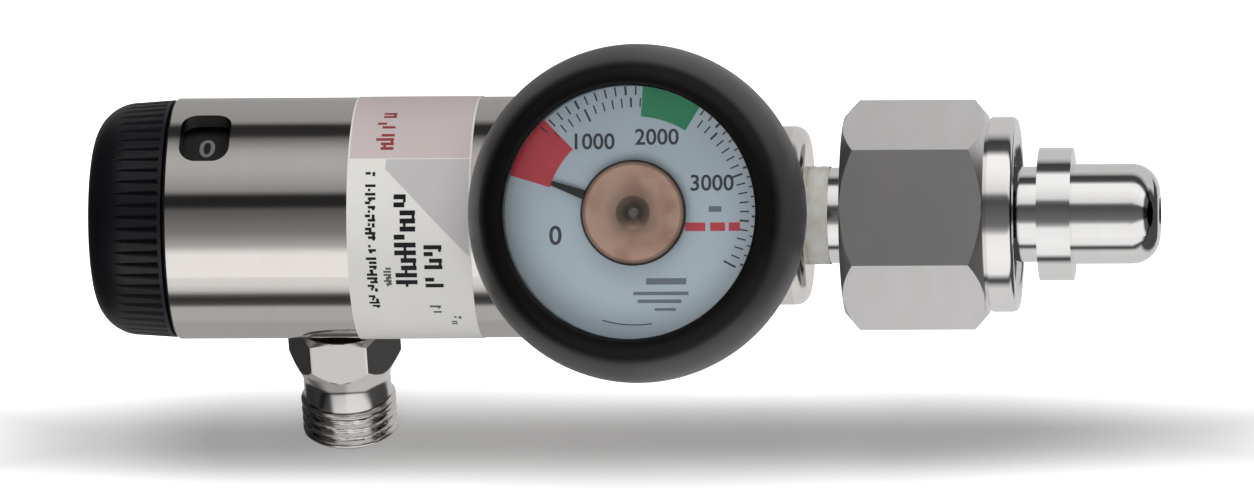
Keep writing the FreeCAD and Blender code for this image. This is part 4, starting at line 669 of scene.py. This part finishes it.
class REGULATOR_OT_body(bpy.types.Operator):
    """Plates the body and the inlet nipple"""

    bl_idname = "regulator.body"
    bl_label = "Body and nipple"

    def execute(self, context):
        look = context.scene.regulator_finish
        dressed("regulator_body", turned_metal(
            "body_plating", look.plating, look.plating_roughness))
        dressed("inlet_nipple", turned_metal(
            "nipple_plating", look.nipple_plating, look.plating_roughness * 0.8))
        return {"FINISHED"}


class REGULATOR_OT_coupling_nut(bpy.types.Operator):
    """Builds the coupling nut with its bevelled hexagon and screw thread"""

    bl_idname = "regulator.coupling_nut"
    bl_label = "Coupling nut"

    def execute(self, context):
        look = context.scene.regulator_finish
        cut = context.scene.regulator_threads
        face = math.radians(33.2)
        angle = turn(cut.columns) + face
        flats = 28.575
        corner = flats / 2 / math.cos(math.pi / 6)
        bevel = 1.8
        back = -NUT_LOW.x / MM
        front = -NUT_HIGH.x / MM
        collar_end = front + 3.7
        notch = 0.6
        hexagon_end = collar_end + notch
        collar = 13.95
        land = flats / 2 + 0.02
        hold = 0.05
        side = hexagon_radius(angle, flats, face)
        fall = np.maximum(side - land, 0) / (corner - land) * bevel + 0.15
        lip = 7.1
        groove = 8.45
        wall = back - 7.9
        ring_start = wall + 3.95
        ring_end = ring_start + 1.7
        mouth = 0.9
        thread = 10.9
        rows = [
            (back, lip), (back, land - 0.15), (back - 0.04, land - 0.04),
            (back - 0.12, land), (back - fall, side), (back - fall - hold, side),
            (hexagon_end + fall + hold, side), (hexagon_end + fall, side),
            (hexagon_end + 0.12, land), (hexagon_end, land - 0.12),
            (hexagon_end, collar), (collar_end + notch / 2, collar - notch / 2)]
        rows += bent([
            (collar_end, collar), (front, collar), (front, thread + mouth),
            (front + mouth, thread)], 1.1, 7)
        rows += thread_rows(front + mouth * 1.2, wall - 0.3, thread, cut.nut_depth / MM,
                            cut.nut_pitch / MM, angle, cut.rows_per_turn, inward=True)
        rows += [(wall, thread), (wall, lip + 0.3), (wall + 0.3, lip),
                 (ring_start, lip), (ring_start, groove), (ring_end, groove), (ring_end, lip)]
        nut = loop_piece(
            "coupling_nut_threaded", rows, angle, round_main_axis, "nut",
            nut_finish(look.nut_plating, look.plating_roughness, (collar + 0.1) * MM))
        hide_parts("coupling_nut")
        dressed("nut_ring", moulded("ring_rubber", (0.02, 0.02, 0.02), 0.5))
        return {"FINISHED"}


class REGULATOR_OT_outlet(bpy.types.Operator):
    """Builds the outlet fitting: turned hexagon, cone, neck and screw thread"""

    bl_idname = "regulator.outlet"
    bl_label = "Outlet fitting"

    def execute(self, context):
        look = context.scene.regulator_finish
        cut = context.scene.regulator_threads
        angle = turn(cut.columns)
        flats = 14.29
        spigot = 4.17
        passage = 2.2
        socket = 3.4
        top = 9.0
        seat = 16.9
        end = -OUTLET_LOW.z / MM
        hex_end = seat + 6.6
        cone_end = hex_end + 2.0
        neck_end = cone_end + 3.4
        neck = 6.3
        crest = 6.85
        socket_end = end - 8.0
        side = np.minimum(hexagon_radius(angle, flats, math.pi / 2), 8.2)
        fall = (side - flats / 2) * 1.6
        rows = [
            (top, passage), (top, spigot), (seat, spigot), (seat, flats / 2 - 0.1),
            (seat + 0.05, flats / 2), (seat + 0.1 + fall * 0.3, side),
            (seat + 0.15 + fall * 0.3, side), (hex_end - fall - 0.15, side),
            (hex_end - fall - 0.1, side), (hex_end, flats / 2)]
        rows += bent([(hex_end, flats / 2 - 0.02), (cone_end, neck), (neck_end, neck),
                      (neck_end + 0.4, crest)], 0.5, 4)
        rows += thread_rows(neck_end + 0.45, end - 0.8, crest, cut.outlet_depth / MM,
                            cut.outlet_pitch / MM, angle, cut.rows_per_turn)
        rows += bent([(end - 0.75, crest), (end, crest - 0.8), (end, socket),
                      (socket_end, socket), (socket_end, passage)], 0.25, 3)
        outlet = loop_piece(
            "outlet_fitting_threaded", rows, angle, round_outlet_axis, "regulator",
            turned_metal(
                "outlet_plating", look.outlet_plating, 0.16, (0, math.radians(90), 0)),
            flip=True)
        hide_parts("outlet_fitting")
        return {"FINISHED"}


class REGULATOR_OT_taped_thread(bpy.types.Operator):
    """Wraps sealing tape on the pipe thread that shows between nut and body"""

    bl_idname = "regulator.taped_thread"
    bl_label = "Taped thread"

    def execute(self, context):
        cut = context.scene.regulator_threads
        angle = turn(cut.columns)
        inner = 6.955
        start = 34.75
        end = 37.78
        rows = [(start, inner)]
        for along in np.linspace(start, end, 44):
            phase = along * MM / cut.pipe_pitch - angle / (2 * np.pi)
            wave = 0.5 + 0.5 * np.cos(2 * np.pi * phase)
            wrinkle = np.sin(angle * 23 + along * 5) * np.sin(angle * 9 - along * 3)
            rows.append((along, inner + 0.035 + 0.055 * wave + 0.012 * wrinkle))
        rows.append((end, inner))
        material, tree, shader, coordinates = blank("sealing_tape", Metallic=0.0)
        marks = placed(tree, handling_marks, coordinates, Size=420.0)
        varied_colour(tree, shader, (0.74, 0.735, 0.705), marks.outputs["Smears"], 0.2,
                      (1.0, 0.97, 0.82))
        varied_roughness(tree, shader, marks.outputs["Specks"], 0.4, 0.65)
        bumped(tree, shader, marks.outputs["Specks"], 0.3, 0.00005)
        loop_piece("sealing_tape", rows, angle, round_main_axis, "regulator",
                   material, sharp=60)
        return {"FINISHED"}


class REGULATOR_OT_knob(bpy.types.Operator):
    """Gives the flow knob and its cap their satin black mouldings"""

    bl_idname = "regulator.knob"
    bl_label = "Flow knob"

    def execute(self, context):
        look = context.scene.regulator_finish
        dressed("flow_knob", moulded(
            "knob_moulding", look.knob_black, 0.38, 0.12, grain=2200.0, strength=0.10))
        dressed("knob_cap", moulded(
            "cap_moulding", look.knob_black, 0.30, 0.10, grain=2600.0, strength=0.08))
        return {"FINISHED"}


CAP_HEIGHT = 0.73  # of the default font's capitals in a text of size 1


def glyph_mesh(text, height):
    """The default font's outline of a text, as flat points centred on it and scaled to a
    height, with its faces."""
    curve = bpy.data.curves.new("glyphs", "FONT")
    curve.body = text
    curve.align_x = "CENTER"
    curve.align_y = "CENTER"
    curve.resolution_u = 4
    curve.offset = 0.015
    holder = bpy.data.objects.new("glyphs", curve)
    bpy.context.scene.collection.objects.link(holder)
    bpy.context.view_layer.update()
    evaluated = holder.evaluated_get(bpy.context.evaluated_depsgraph_get())
    mesh = bpy.data.meshes.new_from_object(evaluated)
    points = np.empty(len(mesh.vertices) * 3)
    mesh.vertices.foreach_get("co", points)
    points = points.reshape(-1, 3)[:, :2]
    faces = [tuple(face.vertices) for face in mesh.polygons]
    bpy.data.objects.remove(holder)
    bpy.data.meshes.remove(mesh)
    low, high = points.min(axis=0), points.max(axis=0)
    points = (points - (low + high) / 2) * (height / CAP_HEIGHT)
    return points, faces


def printed(name, body, material, blocks):
    """One flat piece of print from blocks of points and faces."""
    points, faces, start = [], [], 0
    for block, corners in blocks:
        points.append(block)
        faces += [tuple(int(corner) + start for corner in face) for face in corners]
        start += len(block)
    mesh_piece(name, np.concatenate(points), faces, body, material, smooth=False)


FLOW_NUMBERS = ("0", ".5", "1", "1.5", "2", "3", "4", "6", "8", "10", "15", "25")


class REGULATOR_OT_number_drum(bpy.types.Operator):
    """Blackens the number drum and prints its twelve flow numbers in white"""

    bl_idname = "regulator.number_drum"
    bl_label = "Number drum"

    def execute(self, context):
        look = context.scene.regulator_print
        dressed("number_drum", moulded("drum_black", (0.008, 0.008, 0.009), 0.5))
        radius = DRUM_RADIUS + 0.12 * MM
        station = 123.3 * MM
        window = math.radians(73.5)
        numbers = []
        for place, text in enumerate(FLOW_NUMBERS):
            height = look.drum_numeral * (1.0 if len(text) == 1 else 0.72)
            flat, faces = glyph_mesh(text, height)
            angle = window - place * 2 * math.pi / len(FLOW_NUMBERS) + flat[:, 1] / radius
            numbers.append((round_main_axis(station - flat[:, 0], radius, angle), faces))
        printed("drum_numbers", "selector",
                ink("numeral_white", (0.16, 0.16, 0.16)), numbers)
        return {"FINISHED"}


def label_patch(stations, angles, lift=0.02):
    """A curved rectangle on the label: two stations in millimetres and two angles in degrees,
    on a cylinder that stands a little off the film."""
    radius = LABEL_RADIUS + lift * MM
    station = np.linspace(stations[0], stations[1], 3)[:, None] * MM
    angle = np.radians(np.linspace(angles[0], angles[1], 2 + int(abs(np.ptp(angles)) / 2)))
    points = round_main_axis(station + 0 * angle, radius, angle[None, :] + 0 * station)
    return points.reshape(-1, 3), grid_faces(3, len(angle), flip=stations[1] > stations[0])


def label_strokes(stations, angles, width, seed):
    """A row of plain strokes that stands for a line of text: each is a little narrower than
    its share of the row, some are short and about one in six is left out. Width in mm."""
    draw = np.random.default_rng(seed)
    step = math.degrees(width * MM / LABEL_RADIUS)
    count = int(abs(angles[0] - angles[1]) / step)
    for number in range(count):
        if draw.random() < 0.16:
            continue
        start = angles[0] - number * step
        left, right = stations
        if draw.random() < 0.45:
            left -= (stations[0] - stations[1]) * 0.28
        if draw.random() < 0.25:
            right += (stations[0] - stations[1]) * 0.5
        yield label_patch((left, right), (start, start - step * 0.62))
        if draw.random() < 0.5:
            middle = draw.choice((stations[1] + 0.3, (stations[0] + stations[1]) / 2))
            yield label_patch((middle + 0.2, middle - 0.2), (start, start - step))


class REGULATOR_OT_label(bpy.types.Operator):
    """Gives the label its white film and plain fields of print"""

    bl_idname = "regulator.label"
    bl_label = "Label"

    def execute(self, context):
        look = context.scene.regulator_print
        dressed("body_label", moulded(
            "label_film", look.label_colour, 0.22, 0.12, grain=2500.0, strength=0.015,
            amount=0.06, mottle=50.0, depth=0.00002))
        edges = enumerate(97.0 - step * 0.2 for step in range(60))

        # Piece, finish, colour, and patches with their stations, angles and lift.
        fields = (
            ("label_plain_field", "field_plain", look.label_colour,
             [((102.4, 84.8), (111.9, -83.9), 0.006)]),
            ("label_top_field", "field_pink", (0.56, 0.485, 0.48),
             [((102.2, 85.0), (111.8, 58), 0.014)]),
            ("label_blue_field", "field_blue", (0.51, 0.495, 0.495),
             [((edge, edge - 0.21), (57.5, 52 - step * 0.7), 0.014) for step, edge in edges]))
        for piece, finish, shade, patches in fields:
            printed(piece, "regulator", ink(finish, shade),
                    [label_patch(*patch) for patch in patches])

        # Piece, finish, colour, and rows of strokes with their stations, angles, width and seed.
        prints = (
            ("label_dark_print", "print_dark", look.ink,
             [((99.8, 98.3), (53, -22), 0.62, 11), ((95.7, 92.6), (40, -7), 1.15, 12),
              ((91.5, 88.9), (16, -9), 1.0, 13)]),
            ("label_grey_print", "print_grey", (0.11, 0.11, 0.115),
             [((97.4, 96.3), (5, -8), 0.5, 14), ((91.2, 89.6), (-17, -24), 0.6, 15),
              ((88.4, 86.8), (-25, -33), 0.6, 16)]),
            ("label_red_print", "print_red", (0.27, 0.05, 0.05),
             [((98.6, 96.0), (88, 61), 0.8, 17)]))
        for piece, finish, shade, rows in prints:
            printed(piece, "regulator", ink(finish, shade),
                    [stroke for row in rows for stroke in label_strokes(*row)])
        return {"FINISHED"}


@functools.cache
def dial_radius():
    """The distance from the gauge's axis, from Object coordinates: the root of the squares of
    x - gauge and of y sin + z cos of the gauge's tilt."""
    group, start, end = socket_group("dial_radius", (), ("Radius",))
    split = node(group, "ShaderNodeSeparateXYZ", Vector=start.outputs["Vector"])
    across = math_node(group, "SUBTRACT", split.outputs["X"], GAUGE_X)
    up = weighted(group, (split.outputs["Y"], GAUGE_UP.y), (split.outputs["Z"], GAUGE_UP.z))
    fed(group, end, Radius=hypotenuse(group, across, up))
    return group


def boot_finish(colour):
    """Moulded rubber with a fairly smooth skin and painted light and shade in its colour: pale on
    the flank, where light falls, and dark on the bead round the window, where it is shaded."""
    material, tree, shader, coordinates = blank(
        "boot_rubber", Metallic=0.0, Specular_IOR_Level=0.13)
    skin = placed(tree, moulded_skin, coordinates, Grain=1800.0, Mottle=60.0)
    away = placed(tree, dial_radius, coordinates).outputs["Radius"]
    # Painted light and shade: the colour is dark on the bead round the window and pale on the
    # flank.
    lit_flank_shaded_bead = ranged(tree, away, (20.2 * MM, 22.2 * MM), (0.08, 1.0))
    mottle_and_painted_light = math_node(tree, "MULTIPLY", lit_flank_shaded_bead, math_node(
        tree, "ADD", math_node(tree, "MULTIPLY", skin.outputs["Mottle"], 0.2), 0.9))
    fed(tree, shader, Base_Color=mixed(tree, mottle_and_painted_light, (0.0, 0.0, 0.0), colour))
    varied_roughness(tree, shader, skin.outputs["Mottle"], 0.28, 0.36)
    bumped(tree, shader, skin.outputs["Height"], 0.05, 0.00004)
    return material


class REGULATOR_OT_gauge_shell(bpy.types.Operator):
    """Gives the rubber boot, the gauge's window and its case their finishes"""

    bl_idname = "regulator.gauge_shell"
    bl_label = "Gauge shell"

    def execute(self, context):
        look = context.scene.regulator_finish
        dressed("gauge_boot", boot_finish(look.rubber_black))
        dressed("gauge_case", turned_metal(
            "case_steel", (0.55, 0.55, 0.56), 0.22, (math.radians(-60), 0, 0)))
        dressed("gauge_socket", turned_metal("socket_brass", (0.72, 0.56, 0.28), 0.2))

        material, tree, shader, coordinates = blank(
            "clear_window", Metallic=0.0, Transmission_Weight=1.0, IOR=1.3,
            Base_Color=(0.97, 0.985, 0.99, 1))
        marks = placed(tree, handling_marks, coordinates)
        varied_roughness(tree, shader, marks.outputs["Smears"], 0.0, 0.015)
        path = tree.nodes.new("ShaderNodeLightPath")
        clear = tree.nodes.new("ShaderNodeBsdfTransparent")
        mix = tree.nodes.new("ShaderNodeMixShader")
        sources = (path.outputs["Is Shadow Ray"], shader.outputs[0], clear.outputs[0])
        for source, target in zip(sources, mix.inputs):
            feed(tree, source, target)
        fed(tree, tree.nodes["Material Output"], Surface=mix.outputs[0])
        dressed("gauge_lens", material)
        return {"FINISHED"}


def dial_sector(radii, angles):
    """Part of a ring on the dial between two radii in millimetres and two angles in degrees."""
    count = 2 + int(abs(angles[1] - angles[0]) / 2)
    radius = np.linspace(radii[0], radii[1], 3)[:, None] * MM
    angle = np.radians(np.linspace(angles[0], angles[1], count))[None, :]
    points = on_dial(radius * np.cos(angle), radius * np.sin(angle), PRINT_HEIGHT)
    return points.reshape(-1, 3), grid_faces(3, count, flip=angles[1] < angles[0])


def dial_bar(left, right, low, high):
    """A plain bar on the dial, in millimetres across and up."""
    across = np.array((left, right, right, left)) * MM
    up = np.array((low, low, high, high)) * MM
    return on_dial(across, up, PRINT_HEIGHT), [(0, 1, 2, 3)]


class REGULATOR_OT_dial(bpy.types.Operator):
    """Prints the dial: a scale in thousands, a red and a green field and plain bars, and paints a
    thin arc of shadow low on it
    """

    bl_idname = "regulator.dial"
    bl_label = "Dial"

    def execute(self, context):
        look = context.scene.regulator_print
        dressed("gauge_dial", moulded(
            "dial_paint", look.dial_colour, 0.4, 0.1, grain=1500.0, strength=0.012,
            amount=0.06, specular=0.4, mottle=45.0, depth=0.00002, tint=(0.98, 1.0, 1.02)))

        scale = []
        zero = math.degrees(look.scale_zero)
        step = math.degrees(look.scale_step)
        for tenth in range(41):
            angle = zero - tenth * step / 10
            if 57 < angle < 87 or angle > 141:
                continue
            half = 0.375 if tenth % 5 else 0.55
            between = angle - step / 20
            scale.append(dial_sector((16.6, 17.9), (angle - half, angle + half)))
            scale.append(dial_sector((14.9 if tenth % 10 else 14.3, 16.2),
                                     (between - half, between + half)))
        # Painted shadow: a thin dark arc low on the dial, where the raised edge round it casts
        # shade.
        scale.append(dial_sector((15.7, 15.85), (-107, -81)))
        numerals = (("1000", -5.6, 10.1, 1.0), ("2000", 3.2, 10.7, 1.0),
                    ("3000", 11.0, 4.2, 1.0), ("0", -11.2, -3.1, 1.2))
        for text, across, up, size in numerals:
            flat, faces = glyph_mesh(text, look.numeral_height * size)
            scale.append((on_dial(
                flat[:, 0] + across * MM, flat[:, 1] + up * MM, PRINT_HEIGHT), faces))
        printed("dial_scale_and_shade_arc", "regulator", ink("scale_and_shade_black", look.ink), scale)

        # Piece, finish, colour, parts of rings, and bars.
        fields = (
            ("dial_grey_bars", "bar_grey", (0.07, 0.085, 0.10), [],
             [(10.5, 12.3, 0.1, 0.9), (1.6, 7.3, -10.1, -9.2), (-0.2, 7.6, -11.6, -11.1),
              (0.4, 6.6, -12.7, -12.2), (2.8, 5.8, -13.8, -13.4)]),
            ("dial_red_field", "field_red", (0.29, 0.018, 0.028), [((12.5, 18.4), (163, 134))],
             [(7.2, 10.0, -2.6, -1.4), (10.7, 12.8, -2.6, -1.4), (13.3, 14.9, -2.6, -1.4)]),
            ("dial_green_field", "field_green", (0.004, 0.125, 0.055),
             [((13.6, 18.0), (86, 58))], []))
        for piece, finish, shade, sectors, bars in fields:
            printed(piece, "regulator", ink(finish, shade),
                    [dial_sector(*sector) for sector in sectors]
                    + [dial_bar(*bar) for bar in bars])
        return {"FINISHED"}


def hub_finish(colour):
    """Turned copper with rings about the pointer's axis, with painted shade dark in the dimple;
    the colour also darkens at the rim.
    """
    material, tree, shader, coordinates = blank("hub_copper", Metallic=1.0)
    away = placed(tree, dial_radius, coordinates).outputs["Radius"]
    rings = node(tree, "ShaderNodeCombineXYZ", X=away).outputs[0]
    marks = placed(tree, turning_marks, rings, Rings=6000.0, Ripple=900.0)
    red, green, blue = colour
    # Painted shade: the colour darkens towards the dimple in the middle; it also darkens at the
    # rim.
    tones = ramped(tree, math_node(tree, "DIVIDE", away, 8 * MM), [
        (position, (red * tone, green * tone + 0.002 * (1 - tone), blue * tone))
        for position, tone in ((0.0, 0.06), (0.15, 0.14), (0.32, 0.55), (0.5, 0.85),
                               (0.82, 1.0), (0.86, 0.5), (0.93, 0.22))])
    smears = placed(tree, handling_marks, coordinates, Size=260.0)
    used = mixed(tree, smears.outputs["Smears"], tones, (0.72, 0.62, 0.58), "MULTIPLY")
    fed(tree, shader, Base_Color=used)
    varied_roughness(tree, shader, marks.outputs["Variation"], 0.26, 0.42)
    bumped(tree, shader, marks.outputs["Height"], 0.35, 0.00004)
    return material


class REGULATOR_OT_movement(bpy.types.Operator):
    """Finishes the pointer, its copper-coloured disc, the spindle and the coiled tube"""

    bl_idname = "regulator.movement"
    bl_label = "Gauge movement"

    def execute(self, context):
        look = context.scene.regulator_finish
        dressed("pointer_hub", hub_finish(look.hub_copper))
        dressed("gauge_pointer", moulded(
            "pointer_paint", (0.003, 0.003, 0.0035), 0.5, specular=0.1))
        dressed("gauge_spindle", turned_metal("spindle_steel", (0.045, 0.040, 0.036), 0.3))
        dressed("bourdon_coil", turned_metal("tube_bronze", (0.58, 0.38, 0.2), 0.28))
        return {"FINISHED"}


class REGULATOR_OT_inner_parts(bpy.types.Operator):
    """Finishes the pieces inside: valve, piston, flow selector, seals and springs"""

    bl_idname = "regulator.inner_parts"
    bl_label = "Inner parts"

    def execute(self, context):
        brass = (0.74, 0.58, 0.30)
        finishes = (
            (turned_metal("turned_brass", brass, 0.2), ("seat_nozzle", "piston", "relief_poppet")),
            (turned_metal("ground_steel", (0.60, 0.60, 0.61), 0.18),
             ("selector_shaft", "orifice_disc", "knob_screw", "stop_pin", "detent_ball")),
            (turned_metal("spring_wire", (0.50, 0.50, 0.51), 0.26, rings=2500.0),
             ("piston_spring", "relief_spring", "detent_spring", "filter_clip", "disc_clip")),
            (turned_metal("block_alloy", (0.70, 0.70, 0.71), 0.3), ("flow_block",)),
            (moulded("sintered_bronze", (0.42, 0.29, 0.15), 0.5, grain=6000.0, strength=0.5),
             ("inlet_filter",)),
            (moulded("seal_rubber", (0.018, 0.018, 0.018), 0.45),
             ("piston_stem_seal", "piston_head_seal", "block_seal", "shaft_seal",
              "outlet_seal", "relief_pad")),
            (moulded("seat_plastic", (0.78, 0.78, 0.72), 0.35, amount=0.08),
             ("seat_pad", "port_seal")))
        for material, names in finishes:
            for name in names:
                dressed(name, material)
        dressed("relief_cap", turned_metal("cap_brass", brass, 0.2, (0, 0, math.radians(90))))
        return {"FINISHED"}


OPERATORS = (
    REGULATOR_OT_stage, REGULATOR_OT_body, REGULATOR_OT_coupling_nut, REGULATOR_OT_outlet,
    REGULATOR_OT_taped_thread, REGULATOR_OT_knob, REGULATOR_OT_number_drum,
    REGULATOR_OT_label, REGULATOR_OT_gauge_shell, REGULATOR_OT_dial, REGULATOR_OT_movement,
    REGULATOR_OT_inner_parts)


class REGULATOR_PT_panel(bpy.types.Panel):
    """Lists the regulator's settings and steps"""

    bl_label = "Oxygen regulator"
    bl_idname = "REGULATOR_PT_panel"
    bl_space_type = "VIEW_3D"
    bl_region_type = "UI"
    bl_category = "Regulator"

    def draw(self, context):
        for name, _ in SETTINGS:
            settings = getattr(context.scene, name)
            box = self.layout.box()
            for label in settings.__annotations__:
                box.prop(settings, label)
        for operator in OPERATORS:
            self.layout.operator(operator.bl_idname)


SETTINGS = (
    ("regulator_stage", StageSettings), ("regulator_finish", FinishSettings),
    ("regulator_print", PrintSettings), ("regulator_threads", ThreadSettings))


CLASSES = (*(settings for _, settings in SETTINGS), *OPERATORS, REGULATOR_PT_panel)


def register():
    for made in CLASSES:
        bpy.utils.register_class(made)
    for name, settings in SETTINGS:
        setattr(bpy.types.Scene, name, PointerProperty(type=settings))


def unregister():
    for name, _ in SETTINGS:
        delattr(bpy.types.Scene, name)
    for made in reversed(CLASSES):
        bpy.utils.unregister_class(made)


def main():
    register()
    bpy.ops.regulator.stage()
    bpy.ops.regulator.body()
    bpy.ops.regulator.coupling_nut()
    bpy.ops.regulator.outlet()
    bpy.ops.regulator.taped_thread()
    bpy.ops.regulator.knob()
    bpy.ops.regulator.number_drum()
    bpy.ops.regulator.label()
    bpy.ops.regulator.gauge_shell()
    bpy.ops.regulator.dial()
    bpy.ops.regulator.movement()
    bpy.ops.regulator.inner_parts()


if __name__ == "__main__":
    main()
